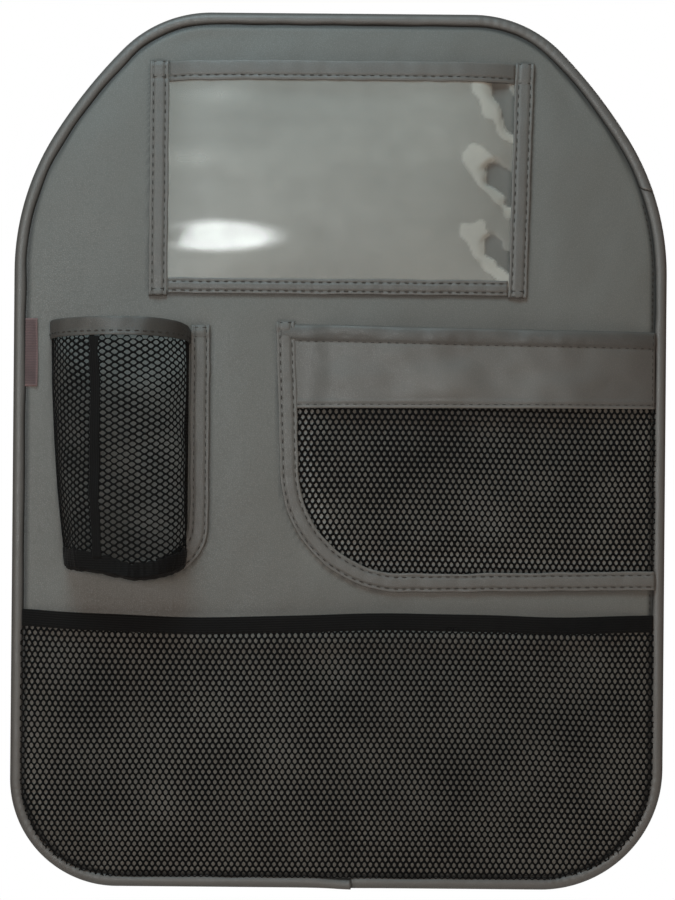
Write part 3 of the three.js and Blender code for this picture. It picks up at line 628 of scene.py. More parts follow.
def blank_material(name: str) -> tuple[bpy.types.Material, Graph, bpy.types.Node]:
    """A material with only a Principled BSDF and its output.

    Args:
        name: Name of the material.

    Returns:
        The material, its graph and the shader node.
    """
    material = bpy.data.materials.new(name)
    material.use_nodes = True
    material.node_tree.nodes.clear()
    graph = Graph(material.node_tree)
    shader = graph.add("BsdfPrincipled")
    out = graph.add("OutputMaterial")
    graph.feed(out.inputs["Surface"], shader.outputs["BSDF"])
    return material, graph, shader


def placed(graph: Graph, tree: bpy.types.NodeTree, vector: Socket, **inputs: float) -> bpy.types.Node:
    """A shared effect placed in a material with its own values.

    Args:
        graph: The material's graph.
        tree: The shared group.
        vector: The position that drives it.

    Returns:
        The group's node.
    """
    node = graph.tree.nodes.new("ShaderNodeGroup")
    node.node_tree = tree
    graph.feed(node.inputs["Vector"], vector)
    for key, value in inputs.items():
        node.inputs[key].default_value = value
    return node


@dataclass(frozen=True)
class Leatherette:
    """Grained, coated cloth in two close tones: darker in its grain creases, paler where it rubs and where
    light is painted, and darkened by painted shade in ditches, grooves and under laps.
    """

    name: str
    tone: Colour
    second_tone: Colour
    roughness: float = 0.5
    grain: float = 760.0
    relief: float = 0.12

    def build(self, effects: Effects) -> bpy.types.Material:
        """Builds the material from the shared effects.

        Args:
            effects: The shared node groups.

        Returns:
            The material.
        """
        material, graph, shader = blank_material(self.name)
        place = graph.add("TexCoord").outputs["Object"]
        grain = placed(graph, effects.grain, place, Scale=self.grain)
        mottle = placed(graph, effects.mottle, place, Scale=7.0, Contrast=1.5)
        tone = graph.mix(mottle.outputs["Factor"], self.tone, self.second_tone)
        dark = tuple(c * 0.62 for c in self.tone[:3]) + (1.0,)
        creased = graph.mix(graph.math("MULTIPLY", grain.outputs["Crease"], 0.4), tone, dark)
        # Paler by the wear mark: wear on edges and crests, and painted highlights and painted light on some
        # pieces.
        pale = tuple(min(1.0, c * 1.55) for c in self.tone[:3]) + (1.0,)
        uneven = graph.between(mottle.outputs["Factor"], 0.25, 0.75, 0.25, 0.7)
        wear_and_light = graph.math("MULTIPLY", graph.mark("wear_and_light"), uneven)
        lightened = graph.mix(wear_and_light, creased, pale)
        # Painted shade: a near-black tone mixed in by the shade mark, in ditches, grooves, under laps and on
        # sides turned from the light.
        painted_dark = tuple(c * 0.16 for c in self.tone[:3]) + (1.0,)
        graph.feed(shader.inputs["Base Color"], graph.mix(graph.mark("painted_shade"), lightened, painted_dark))
        rough = graph.between(grain.outputs["Crease"], 0.0, 1.0, self.roughness - 0.05, self.roughness + 0.12)
        polish = graph.math("MULTIPLY", wear_and_light, 0.1)
        graph.feed(shader.inputs["Roughness"], graph.math("SUBTRACT", rough, polish))
        graph.bump(shader, grain.outputs["Height"], self.relief, 0.0004)
        shader.inputs["Specular IOR Level"].default_value = 0.45
        return material


@dataclass(frozen=True)
class ClearSheet:
    """Soft clear sheet with a banded haze, clear where it clings to the cover, paler round that, and paler in
    two painted highlights.
    """

    name: str
    haze: Colour
    cover: float

    def build(self, effects: Effects) -> bpy.types.Material:
        """Builds the material, whose alpha is the haze and drops where the sheet clings.

        Args:
            effects: The shared node groups.

        Returns:
            The material.
        """
        material, graph, shader = blank_material(self.name)
        place = graph.add("TexCoord").outputs["Object"]
        mottle = placed(graph, effects.mottle, place, Scale=11.0, Contrast=1.3)
        cling, rim = graph.mark("cling"), graph.mark("rim")
        pale = tuple(min(1.0, c * 1.2) for c in self.haze[:3]) + (1.0,)
        flattened = graph.add("Mapping", Vector=place)
        flattened.inputs["Scale"].default_value = (2.2, 1.0, 26.0)
        bands = graph.add("TexNoise", Vector=flattened.outputs[0], Scale=1.6, Detail=3.0)
        streaks = graph.math("MULTIPLY", mottle.outputs["Factor"], bands.outputs["Fac"])
        graph.feed(shader.inputs["Base Color"], graph.mix(mottle.outputs["Factor"], self.haze, pale))
        hazed = graph.between(streaks, 0.05, 0.5, self.cover * 0.82, self.cover * 1.25)
        held = graph.math("SUBTRACT", 1.0, graph.math("MULTIPLY", cling, 0.92))
        cleared = graph.math("MULTIPLY", hazed, held)
        crest = graph.math("MULTIPLY", rim, 0.4)
        graph.feed(shader.inputs["Alpha"], graph.math("ADD", cleared, crest, clamp=True))
        scuffs = graph.add("TexNoise", Vector=place, Scale=55.0, Detail=6.0)
        dull = graph.between(graph.mark("gloss"), 0.0, 1.0, 0.3, 0.0)
        rough = graph.between(scuffs.outputs["Fac"], 0.3, 0.75, 0.08, 0.2)
        graph.feed(shader.inputs["Roughness"], graph.math("ADD", rough, dull))
        graph.bump(shader, bands.outputs["Fac"], 0.2, 0.0004)
        shader.inputs["IOR"].default_value = 1.75
        graph.feed(shader.inputs["Coat Weight"], graph.math("MULTIPLY", graph.mark("gloss"), 0.6))
        shader.inputs["Coat Roughness"].default_value = 0.1
        return material


@dataclass(frozen=True)
class Yarn:
    """Knitted or twisted yarn: a dark tone with paler fuzz and a fine twist."""

    name: str
    tone: Colour
    fuzz: Colour
    roughness: float = 0.75

    def build(self, effects: Effects) -> bpy.types.Material:
        """Builds the material from noise at the size of the fibres.

        Args:
            effects: The shared node groups.

        Returns:
            The material.
        """
        material, graph, shader = blank_material(self.name)
        place = graph.add("TexCoord").outputs["Object"]
        fibre = graph.add("TexNoise", Vector=place, Scale=2400.0, Detail=3.0)
        mottle = placed(graph, effects.mottle, place, Scale=14.0, Contrast=1.6)
        speck = graph.between(fibre.outputs["Fac"], 0.52, 0.75)
        share = graph.math("MULTIPLY", speck, graph.between(mottle.outputs["Factor"], 0.0, 1.0, 0.35, 0.9))
        graph.feed(shader.inputs["Base Color"], graph.mix(share, self.tone, self.fuzz))
        rough = graph.between(fibre.outputs["Fac"], 0.3, 0.7, self.roughness - 0.1, self.roughness + 0.12)
        graph.feed(shader.inputs["Roughness"], rough)
        graph.bump(shader, fibre.outputs["Fac"], 0.5, 0.0002)
        shader.inputs["Sheen Weight"].default_value = 0.02
        shader.inputs["Specular IOR Level"].default_value = 0.15
        return material


@dataclass(frozen=True)
class WovenTape:
    """Ribbed elastic or tape that follows the piece's own map."""

    name: str
    tone: Colour
    raised: Colour
    cords: float = 620.0
    picks: float = 1100.0

    def build(self, effects: Effects) -> bpy.types.Material:
        """Builds the material from ribs along the tape and fuzz across it.

        Args:
            effects: The shared node groups.

        Returns:
            The material.
        """
        material, graph, shader = blank_material(self.name)
        coordinates = graph.add("TexCoord")
        ribs = placed(graph, effects.ribs, coordinates.outputs["UV"], Cords=self.cords, Picks=self.picks)
        mottle = placed(graph, effects.mottle, coordinates.outputs["Object"], Scale=16.0, Contrast=1.5)
        share = graph.math("MULTIPLY", ribs.outputs["Height"], mottle.outputs["Factor"])
        lightened = graph.math("ADD", share, graph.math("MULTIPLY", graph.mark("wear_and_light"), 0.4), clamp=True)
        graph.feed(shader.inputs["Base Color"], graph.mix(lightened, self.tone, self.raised))
        graph.feed(shader.inputs["Roughness"], graph.between(ribs.outputs["Valley"], 0.0, 1.0, 0.68, 0.92))
        graph.bump(shader, ribs.outputs["Height"], 0.6, 0.0004)
        shader.inputs["Sheen Weight"].default_value = 0.03
        shader.inputs["Specular IOR Level"].default_value = 0.15
        return material


@dataclass(frozen=True)
class PressedCloth:
    """Nonwoven cloth of pressed fibres."""

    name: str
    tone: Colour
    second_tone: Colour
    scale: float = 240.0

    def build(self, effects: Effects) -> bpy.types.Material:
        """Builds the material from crossed fibres over a slow mottle.

        Args:
            effects: The shared node groups.

        Returns:
            The material.
        """
        material, graph, shader = blank_material(self.name)
        place = graph.add("TexCoord").outputs["Object"]
        fibres = placed(graph, effects.fibres, place, Scale=self.scale)
        mottle = placed(graph, effects.mottle, place, Scale=8.0, Contrast=1.4)
        tufts = graph.between(fibres.outputs["Height"], 0.45, 0.7)
        share = graph.math("MULTIPLY", tufts, mottle.outputs["Factor"])
        graph.feed(shader.inputs["Base Color"], graph.mix(share, self.tone, self.second_tone))
        graph.feed(shader.inputs["Roughness"], graph.between(fibres.outputs["Height"], 0.4, 0.7, 0.95, 0.8))
        graph.bump(shader, fibres.outputs["Height"], 0.7, 0.0006)
        shader.inputs["Sheen Weight"].default_value = 0.15
        return material


class Finish(Enum):
    """The finishes of the organizer by the part that wears them."""

    COVER = Leatherette("cover_leatherette", srgb(100, 103, 100), srgb(95, 96, 92), 0.52, 820.0, 0.09)
    TRIM = Leatherette("trim_leatherette", srgb(97, 98, 95), srgb(90, 88, 85), 0.46, 820.0, 0.16)
    BINDING = Leatherette("binding_leatherette", srgb(94, 94, 92), srgb(87, 85, 82), 0.42, 820.0, 0.18)
    CLEAR = ClearSheet("clear_sheet", srgb(168, 172, 166), 0.28)
    NET = Yarn("net_yarn", srgb(4, 4, 4), srgb(17, 15, 14), 0.9)
    THREAD = Yarn("sewing_thread", srgb(44, 44, 42), srgb(124, 122, 117), 0.65)
    ELASTIC = WovenTape("black_elastic", srgb(6, 5, 5), srgb(20, 18, 16))
    LINING = PressedCloth("back_lining", srgb(24, 24, 24), srgb(52, 52, 52))
    FOAM = PressedCloth("foam_core", srgb(120, 120, 116), srgb(150, 150, 146), 500.0)
    TAG = WovenTape("tag_cloth", srgb(78, 68, 70), srgb(132, 112, 112), 900.0, 900.0)


class Wardrobe:
    """The materials, each built once."""

    def __init__(self) -> None:
        """Builds the shared effects and then every finish."""
        effects = Effects()
        self._materials = {finish: finish.value.build(effects) for finish in Finish}

    def __getitem__(self, finish: Finish) -> bpy.types.Material:
        """The material of a finish."""
        return self._materials[finish]


# Sewing


@dataclass
class Stitches:
    """Short threads that lie on a surface: their middles, their directions and the way out of the cloth."""

    centres: Array
    along: Array
    out: Array

    @staticmethod
    def on(line: Array, pitch: float, out: Array = FRONT) -> Stitches:
        """A row of stitches along a line in space.

        Args:
            line: Points of the line, (n, 3).
            pitch: Distance from one stitch to the next.
            out: The way out of the cloth, for all points or for each, (n, 3).

        Returns:
            The row, with small differences from stitch to stitch.
        """
        run = run_along(line)
        count = max(1, int(run[-1] / pitch))
        middle = (np.arange(count) + 0.5) * run[-1] / count
        middle = middle + 0.12 * np.sin(np.arange(count) * 2.4)
        ahead = np.clip(middle + 1.0, 0.0, run[-1])
        behind = np.clip(middle - 1.0, 0.0, run[-1])

        def at(where: Array, values: Array) -> Array:
            """Values of the line at distances along it."""
            return np.stack([np.interp(where, run, values[:, k]) for k in range(3)], axis=1)

        along = at(ahead, line) - at(behind, line)
        along /= np.linalg.norm(along, axis=1, keepdims=True)
        away = at(middle, np.broadcast_to(out, line.shape))
        away -= (away * along).sum(axis=1, keepdims=True) * along
        away /= np.linalg.norm(away, axis=1, keepdims=True)
        return Stitches(at(middle, line), along, away)


@dataclass
class Sewing:
    """All the visible thread of one part of the organizer.

    A stitch is a thin tube of rings. At t from -1 to 1 along it, its radius is r (1 - t^4)^(1/2) and it
    stands h (1 - t^2) out of the cloth less a small depth, so both ends sink in.
    """

    name: str
    length: float = 3.2
    radius: float = 0.28
    arch: float = 0.34
    sink: float = 0.1
    rows: list[Stitches] = field(default_factory=list)

    def add(self, *rows: Stitches) -> None:
        """Adds rows of stitches."""
        self.rows += rows

    def build(self, wardrobe: Wardrobe) -> bpy.types.Object:
        """Makes one piece of all the stitches.

        Args:
            wardrobe: All finishes.

        Returns:
            The piece.
        """
        rows = self.rows
        centres = np.concatenate([row.centres for row in rows])
        along = np.concatenate([row.along for row in rows])
        out = np.concatenate([row.out for row in rows])
        side = np.cross(along, out)
        t = np.array([-1.0, -0.72, -0.25, 0.25, 0.72, 1.0])
        turn = np.arange(6) * math.pi / 3.0
        count = len(centres)
        spread = 1.0 + 0.08 * np.sin(np.arange(count) * 1.9)
        half = (self.length / 2.0 * spread)[:, None, None, None]
        thick = self.radius * np.sqrt(np.maximum(1.0 - t**4, 0.06))[None, :, None, None]
        height = (self.arch * (1.0 - t**2) - self.sink)[None, :, None, None]
        tilt = (0.06 * np.sin(np.arange(count) * 3.7))[:, None, None, None]
        axis = t[None, :, None, None]
        points = (
            centres[:, None, None, :]
            + half * axis * along[:, None, None, :]
            + (height + thick * np.cos(turn)[None, None, :, None]) * out[:, None, None, :]
            + (thick * np.sin(turn)[None, None, :, None] + tilt * half * axis) * side[:, None, None, :]
        )
        per = len(t) * len(turn)
        shift = (np.arange(count) * per)[:, None, None]
        tube_faces = (lattice(len(t), len(turn), closed=True)[None] + shift).reshape(-1, 4)
        caps = np.stack([np.arange(6)[::-1], per - 6 + np.arange(6)])
        cap_faces = (caps[None] + shift).reshape(-1, 6)
        body = Body(points.reshape(-1, 3), [tube_faces, cap_faces]).outward()
        return make_piece(self.name, body, wardrobe[Finish.THREAD])


# Places shared by the pockets

BACK = 0.0
LINING_FACE = -0.75
CORE_FACE = -3.75
COVER_FACE = -5.0
CLEARANCE = 0.3
BINDING_WIDTH = 8.5
HALF_WIDTH = 225.0
FIELD = HALF_WIDTH - BINDING_WIDTH - CLEARANCE
STRIP_WIDTH = 12.8
STRIP_THICKNESS = 2.4
HELD_BACK = COVER_FACE - 1.2
"""The least flat width of a tape that may be declared, in metres; its area states the true one."""


@dataclass(frozen=True)
class PanelEdge:
    """The outline of the panel: straights and arcs, the same on both sides but for the bottom corners."""

    width: float = 450.0
    height: float = 603.0
    top_radius: float = 86.0
    top_turn: float = math.radians(45.6)
    shoulder_radius: float = 348.0
    shoulder_turn: float = math.radians(12.5)
    side_radius: float = 178.0
    bottom_left_radius: float = 74.0
    bottom_right_radius: float = 84.0
    foot_splice: float = 10.6
    shoulder_splice_turn: float = math.radians(20.0)

    def _corner(self) -> tuple[float, float, float]:
        """The reach and fall of a top corner, and the turn of its side arc.

        Returns:
            The reach, the fall and the turn.
        """
        first, second = self.top_turn, self.top_turn + self.shoulder_turn
        reach = math.sin(first) * self.top_radius
        reach += (math.sin(second) - math.sin(first)) * self.shoulder_radius
        reach += (1.0 - math.sin(second)) * self.side_radius
        fall = (1.0 - math.cos(first)) * self.top_radius
        fall += (math.cos(first) - math.cos(second)) * self.shoulder_radius
        fall += math.cos(second) * self.side_radius
        return reach, fall, math.pi / 2.0 - second

    def right(self, step: float) -> Path:
        """The edge from the splice at the foot, anticlockwise, to the shoulder splice.

        Args:
            step: Distance between points.

        Returns:
            The path.
        """
        _, fall, _ = self._corner()
        moves = (
            Straight(self.width / 2.0 - self.bottom_right_radius - self.foot_splice),
            Arc(self.bottom_right_radius, math.pi / 2.0),
            Straight(self.height - self.bottom_right_radius - fall),
            Arc(self.side_radius, self.shoulder_splice_turn),
        )
        return walk((self.foot_splice, -self.height / 2.0), 0.0, moves, step)

    def left(self, step: float) -> Path:
        """The edge from the shoulder splice over the top and down the left, back to the foot's splice.

        Args:
            step: Distance between points.

        Returns:
            The path.
        """
        reach, fall, side_turn = self._corner()
        start = self.right(step).points[-1]
        moves = (
            Arc(self.side_radius, side_turn - self.shoulder_splice_turn),
            Arc(self.shoulder_radius, self.shoulder_turn),
            Arc(self.top_radius, self.top_turn),
            Straight(self.width - 2.0 * reach),
            Arc(self.top_radius, self.top_turn),
            Arc(self.shoulder_radius, self.shoulder_turn),
            Arc(self.side_radius, side_turn),
            Straight(self.height - self.bottom_left_radius - fall),
            Arc(self.bottom_left_radius, math.pi / 2.0),
            Straight(self.width / 2.0 - self.bottom_left_radius + self.foot_splice),
        )
        heading = math.pi / 2.0 + self.shoulder_splice_turn
        return walk((float(start[0]), float(start[1])), heading, moves, step)

    def loop(self, step: float, inward: float = 0.0) -> Array:
        """The whole outline moved inwards, as a closed polyline whose last point is its first."""
        right, left = self.right(step), self.left(step)
        line = np.concatenate([right.offset(inward), left.offset(inward)[1:]])
        line[-1] = line[0]
        return line

    def inside(self, x: Array, z: Array) -> Array:
        """How far points are inside the outline, which bulges outwards everywhere."""
        return inside_of(self.loop(6.0), x, z)

    def field_grid(self, rows: int, columns: int, inward: float) -> Array:
        """Points over the whole panel, in level rows that run from the outline's left side to its right.

        Args:
            rows: Number of rows.
            columns: Points in a row.
            inward: Distance of the grid's rim from the edge.

        Returns:
            Points x and z, (rows, columns, 2).
        """
        line = self.loop(1.5, inward)
        low, high = line[:, 1].min(), line[:, 1].max()
        share = np.linspace(0.0, 1.0, rows)
        eased = share - 0.11 * np.sin(2.0 * math.pi * share) / (2.0 * math.pi) * 6.0
        heights = low + (high - low) * eased
        right, left = self.reach(line, heights, 1.0), self.reach(line, heights, -1.0)
        across = np.linspace(0.0, 1.0, columns)[None, :]
        x = left[:, None] + (right - left)[:, None] * across
        return together(x, heights[:, None])

    @staticmethod
    def reach(line: Array, heights: Array, sign: float) -> Array:
        """The furthest x of an outline at each height, on one side.

        Args:
            line: Points of the outline, (n, 2).
            heights: Heights to find it at.
            sign: 1 for the right side, -1 for the left.

        Returns:
            The x at each height.
        """
        side = line[line[:, 0] * sign > 0]
        found, place = np.unique(np.round(side[:, 1], 3), return_inverse=True)
        furthest = np.full(len(found), -np.inf)
        np.maximum.at(furthest, place, side[:, 0] * sign)
        return np.interp(heights, found, furthest) * sign


EDGE = PanelEdge()


def fold_section(width: float, held: float, rows: Sequence[float]) -> tuple[Array, Array]:
    """The section of a strip folded over a sheet's edge, with the stitch rows pulled into its face.

    The face crowns by a cosine between its two rounded edges, less a bell-shaped dip at each stitch row.
    The back runs flat, with a slot that takes the sheet.

    Args:
        width: Width of the strip.
        held: Thickness of the sheet that it holds.
        rows: Distances of the stitch rows from the outer edge.

    Returns:
        The section as distance in from the edge and depth towards the viewer, (n, 2), and how far each
        point is paled.
    """
    total = STRIP_THICKNESS + held
    u = np.linspace(0.0, 1.0, 27)
    across = 0.7 + (width - 1.3) * u
    crown = total - 0.3 + 0.5 * np.sin(math.pi * u) ** 0.5
    for row in rows:
        crown = crown - 0.42 * bell(across - row, 1.0)
    face = np.stack([across, crown], axis=1)
    start = np.array([[0.5, -0.3], [0.12, 0.2], [0.0, 0.8], [0.0, total - 0.9], [0.22, total - 0.35]])
    turn = 1.45 + held
    inner = np.array([[width - 0.15, total - 0.4], [width, total - 0.7], [width, turn], [1.2, turn]])
    slot = np.array([[1.2, 0.9], [width, 0.9], [width, 0.3], [width - 0.3, -0.3]])
    section = np.concatenate([start, face, inner, slot])
    wear_and_light = np.zeros(len(section))
    wear_and_light[3:6] = (0.3, 0.6, 0.4)
    wear_and_light[5 + len(face) - 1 : 5 + len(face) + 1] = (0.25, 0.4)
    for row in rows:
        near = (section[:, 1] > total - 1.0) & (np.abs(np.abs(section[:, 0] - row) - 1.3) < 0.35)
        wear_and_light[near] = 0.15
    return section, wear_and_light


@dataclass
class Strip:
    """A folded leatherette strip along a path, with rows of stitching.

    The section is carried along the path. At a stitch's ends the dip is full, and halfway along it the
    dip is shallower, so the rows look pulled in stitch by stitch.
    """

    name: str
    path: Path
    replaces: str
    held: float
    rows: tuple[float, ...] = (2.3, 10.4)
    width: float = STRIP_WIDTH
    lift: Lift | None = None
    pitch: float = 5.9
    seed: int = 1
    step: float = 1.5
    caps: tuple[tuple[float, float], ...] = ()

    def _lift(self, x: Array, z: Array) -> Array:
        """How far the strip stands off the cover at points."""
        return self.lift(x, z) if self.lift else np.zeros_like(x)

    def build(self, wardrobe: Wardrobe, finish: Finish = Finish.TRIM) -> bpy.types.Object:
        """Args:
            wardrobe: All finishes.
            finish: What it is made of.

        Returns:
            The piece.
        """
        part = self.path.between(self.path.run[0], self.path.run[-1], self.step)
        section, paleness = fold_section(self.width, self.held, self.rows)
        run = part.run[:, None]
        u, depth = section[None, :, 0], section[None, :, 1]
        wander = 0.22 * ripple(run, run * 0.0, 61.0, self.seed) * smoothstep(u, 0.0, self.width)
        wander = wander + 0.16 * ripple(run, run * 0.0, 23.0, self.seed + 3)
        inward = u + wander
        pulled = np.zeros_like(inward)
        for row in self.rows:
            phase = np.cos(2.0 * math.pi * run / self.pitch)
            pulled += 0.12 * (1.0 + phase) * bell(u - row, 1.1) * (depth > 1.4)
        face = smoothstep(depth, 1.4, 2.6)
        swell = 0.16 * ripple(run, u * 0.6, 17.0, self.seed + 5) * face
        for low, high in self._caps():
            within = smoothstep(run, low - 0.6, low + 1.2) * (1.0 - smoothstep(run, high - 1.2, high + 0.6))
            creases = bell(run - low, 0.8) + bell(run - high, 0.8)
            swell = swell + (0.55 * within - 0.5 * creases) * face
        x = part.points[:, 0, None] - part.normals[:, 0, None] * inward
        z = part.points[:, 1, None] - part.normals[:, 1, None] * inward
        y = COVER_FACE - depth + pulled - swell - self._lift(x, z)
        rings = together(x, y, z)
        uv = together(run, run_along(section)[None, :])
        body = tube(rings, uv, np.broadcast_to(paleness[None, :], x.shape))
        # Painted shade: dark on the sides of the strip down at the cover, and in the grooves of the stitch
        # rows.
        shaded = 0.5 * (1.0 - smoothstep(depth, 1.0, 2.2)) + 0.0 * run
        for row in self.rows:
            shaded = shaded + 0.16 * bell(u - row, 0.5) * (depth > 1.4)
        body.marks = {"painted_shade": np.clip(shaded, 0.0, 1.0).ravel()}
        piece = make_piece(self.name, body, wardrobe[finish], (self.replaces,))
        return piece

    def _caps(self) -> list[tuple[float, float]]:
        """Start and end of each folded end; a negative distance counts back from the end of the path."""
        length = self.path.length
        return [tuple(sorted(place % length if place < 0 else place for place in cap)) for cap in self.caps]

    def _row(self, flat: Array, sunk: float, pitch: float) -> Stitches:
        """A row of thread over flat points.

        Args:
            flat: Points of the row, (n, 2).
            sunk: How far it lies below the strip's face.
            pitch: Distance from one stitch to the next.

        Returns:
            The stitches.
        """
        x, z = flat[:, 0], flat[:, 1]
        y = COVER_FACE - STRIP_THICKNESS - self.held + sunk - self._lift(x, z)
        return Stitches.on(together(x, y, z), pitch)

    def stitches(self) -> list[Stitches]:
        """The rows of thread that lie in the strip's face, and short rows across it at its folded ends.

        Returns:
            The rows.
        """
        found = []
        for place in [place for cap in self._caps() for place in cap]:
            flat, normal = self.path.at(np.full(6, np.clip(place, 1.0, self.path.length - 1.0)))
            found.append(self._row(flat - normal * np.linspace(1.6, self.width - 1.6, 6)[:, None], 0.25, 3.9))
        part = self.path.between(self.path.run[0] + 1.5, self.path.run[-1] - 1.5, 2.0)
        return found + [self._row(part.offset(row), 0.2, self.pitch) for row in self.rows]


# The panel


@dataclass
class Panel:
    """The padded panel: front cover, back lining, and the rolled binding round the edge in two lengths."""

    wardrobe: Wardrobe
    seams: list[tuple[Array, float]]
    sewing: Sewing
    rows: int = 220
    columns: int = 164
    plump: float = 1.1
    binding_front: float = 4.6
    binding_back: float = 4.4

    def build(self) -> None:
        """Makes the panel's pieces and dresses the foam core."""
        self._cover()
        self._lining()
        self._binding("edge_binding_roll_right", EDGE.right(1.6), "edge_binding_right", 11)
        self._binding("edge_binding_roll_left", EDGE.left(1.6), "edge_binding_left", 23)
        self._edge_stitches()
        core = bpy.data.objects["foam_core"]
        core.data.materials.clear()
        core.data.materials.append(self.wardrobe[Finish.FOAM])

    def relief(self, x: Array, z: Array) -> Array:
        """How far the cover stands proud of its flat face.

        It is sunk under the binding and rises beyond it as 1 - exp(-(d/w)^2), dips in a bell shape along
        the edges of every strip sewn to it, and wavers softly between them.

        Args:
            x: First coordinate of the points.
            z: Second coordinate.

        Returns:
            Height at each point.
        """
        inside = EDGE.inside(x, z) - BINDING_WIDTH
        edge = np.maximum(inside, 0.0)
        height = -0.75 + 0.75 * smoothstep(edge, 0.0, 4.0) + self.plump * (1.0 - bell(edge, 16.0))
        held = np.ones_like(height)
        for line, half in self.seams:
            away = distance_to(x, z, line)
            beside = np.maximum(away - half, 0.0)
            held *= 1.0 - bell(beside, 13.0)
            height -= 0.5 * bell(away - half, 2.6)
        wavy = 0.42 * ripple(x, z, 95.0, 4) + 0.12 * ripple(x, z, 31.0, 9)
        calm = smoothstep(edge, 0.0, 12.0)
        flat = 0.15 * calm
        full = np.where(edge > 0, flat + (height - flat) * (0.25 + 0.75 * held) + wavy * calm * held, height)
        return np.where(inside < 0, -0.75, full)

    def _cover(self) -> None:
        """The front cover: a closed sheet over the whole panel."""
        grid = EDGE.field_grid(self.rows, self.columns, 1.7)
        x, z = grid[..., 0], grid[..., 1]
        front = together(x, COVER_FACE - self.relief(x, z), z)
        back = together(x, CORE_FACE - 0.02, z)
        # Painted light: the cover is paled behind the lower net and behind the side pocket's net, lifting the
        # shade that the nets cast on it.
        low = 1.0 - smoothstep(z, -122.0, -112.0)
        side = smoothstep(x, -32.0, -10.0) * smoothstep(z, -90.0, -60.0) * (1.0 - smoothstep(z, 20.0, 40.0))
        body = slab(front, back, grid, 0.85 * np.maximum(low, side))
        # Painted shade: dark in the ditch beside the binding and along the edges of the strips.
        body.marks = {"painted_shade": np.tile(self._shade_mask(x, z).ravel(), 2)}
        piece = make_piece("front_cover_cloth", body, self.wardrobe[Finish.COVER], ("front_cover",))

    def _shade_mask(self, x: Array, z: Array) -> Array:
        """How much painted shade the cover takes: full in the ditch beside the binding, a little along the
        strips.
        """
        painted_dark = 0.9 * (1.0 - smoothstep(EDGE.inside(x, z) - BINDING_WIDTH, 1.2, 3.2))
        for line, half in self.seams:
            painted_dark = np.maximum(painted_dark, 0.6 * bell(distance_to(x, z, line) - half, 1.4))
        return painted_dark

    def _lining(self) -> None:
        """The back lining, drawn in a little beside the binding and soft between."""
        grid = EDGE.field_grid(150, 112, 1.7)
        x, z = grid[..., 0], grid[..., 1]
        edge = np.maximum(EDGE.inside(x, z) - BINDING_WIDTH, 0.0)
        soft = 0.22 * ripple(x, z, 70.0, 14) * smoothstep(edge, 0.0, 20.0)
        sunk = 0.45 * bell(edge, 4.0) + 0.08
        body = slab(together(x, LINING_FACE + 0.02, z), together(x, BACK - sunk + soft * 0.5, z), grid)
        piece = make_piece("back_lining_cloth", body, self.wardrobe[Finish.LINING], ("back_lining",))

    def _section(self) -> Array:
        """The binding's section: an ellipse over the edge, cut off at the cover and at the lining.

        With the angle a from the front, the distance in from the edge is w (1 + sin a) and the depth is
        the middle of the panel plus h cos a, where h differs between front and back.

        Returns:
            Points of the section, as distance in from the edge and depth.
        """
        middle, slot_front, slot_back = 2.5, 4.3, -0.06
        front = math.acos((slot_front - middle) / self.binding_front)
        back = math.acos((middle - slot_back) / self.binding_back)
        half = BINDING_WIDTH / (1.0 + math.sin(front))
        angle = np.linspace(front, -math.pi - back, 37)
        tall = np.where(np.cos(angle) > 0, self.binding_front, self.binding_back)
        roll = np.stack([half * (1.0 + np.sin(angle)), middle + tall * np.cos(angle)], axis=1)
        roll[0], roll[-1] = (BINDING_WIDTH + 0.1, slot_front), (BINDING_WIDTH + 0.1, slot_back)
        return np.concatenate([roll, [[1.5, slot_back], [1.5, slot_front]]])

    def _binding(self, name: str, path: Path, node: str, seed: int) -> None:
        """One length of the rolled binding, slightly uneven, with fine creases where it turns a corner.

        Args:
            name: Name of the piece.
            path: The edge that it wraps.
            node: The solid that it stands for.
            seed: Number that sets its unevenness.
        """
        section = self._section()
        run = path.run[:, None]
        u, depth = section[None, :, 0], section[None, :, 1]
        angle = np.unwrap(np.arctan2(path.normals[:, 1], path.normals[:, 0]))
        bend = np.abs(np.gradient(angle, path.run))[:, None]
        outer = smoothstep(np.abs(depth - 2.5), 1.2, 4.4) * (u > 1.0)
        uneven = 0.16 * ripple(run, run * 0.0, 47.0, seed) + 0.1 * ripple(run, u, 19.0, seed + 2)
        creases = np.sin(2.0 * math.pi * run / 6.3 + 1.2 * np.sin(run / 11.0) + 0.25 * u)
        creases = creases * np.clip(bend / 0.012, 0.0, 1.0) * 0.16
        swell = (uneven + creases) * outer
        inward = np.minimum(u, BINDING_WIDTH + 0.1)
        inward = inward + 0.25 * ripple(run, run * 0.0, 33.0, seed + 4) * smoothstep(u, 5.0, 8.6)
        x = path.points[:, 0, None] - path.normals[:, 0, None] * inward
        z = path.points[:, 1, None] - path.normals[:, 1, None] * inward
        y = -(depth + np.sign(depth - 2.5) * swell)
        ends = self._splice(path, u)
        x, z = x + ends[..., 0], z + ends[..., 1]
        over = path.normals[0, 0] > 0.5
        foot = path.length - run if over else run
        z = z - (1.9 * bell(foot, 21.0) if over else 0.3 * bell(foot, 16.0)) * smoothstep(u, -1.0, 2.0)
        shoulder = run if over else path.length - run
        lap = (0.7 if over else -0.5) * bell(shoulder, 4.0) * outer * (depth > 2.5)
        lap = lap + (0.9 if over else -0.4) * bell(foot, 7.0) * outer * (depth > 2.5)
        rings = together(x, y - lap, z)
        uv = together(run, run_along(section)[None, :])
        wear_and_light = 0.45 * smoothstep(depth, 6.0, 7.1) + (0.9 if over else 0.0) * bell(shoulder, 1.0)
        body = tube(rings, uv, wear_and_light)
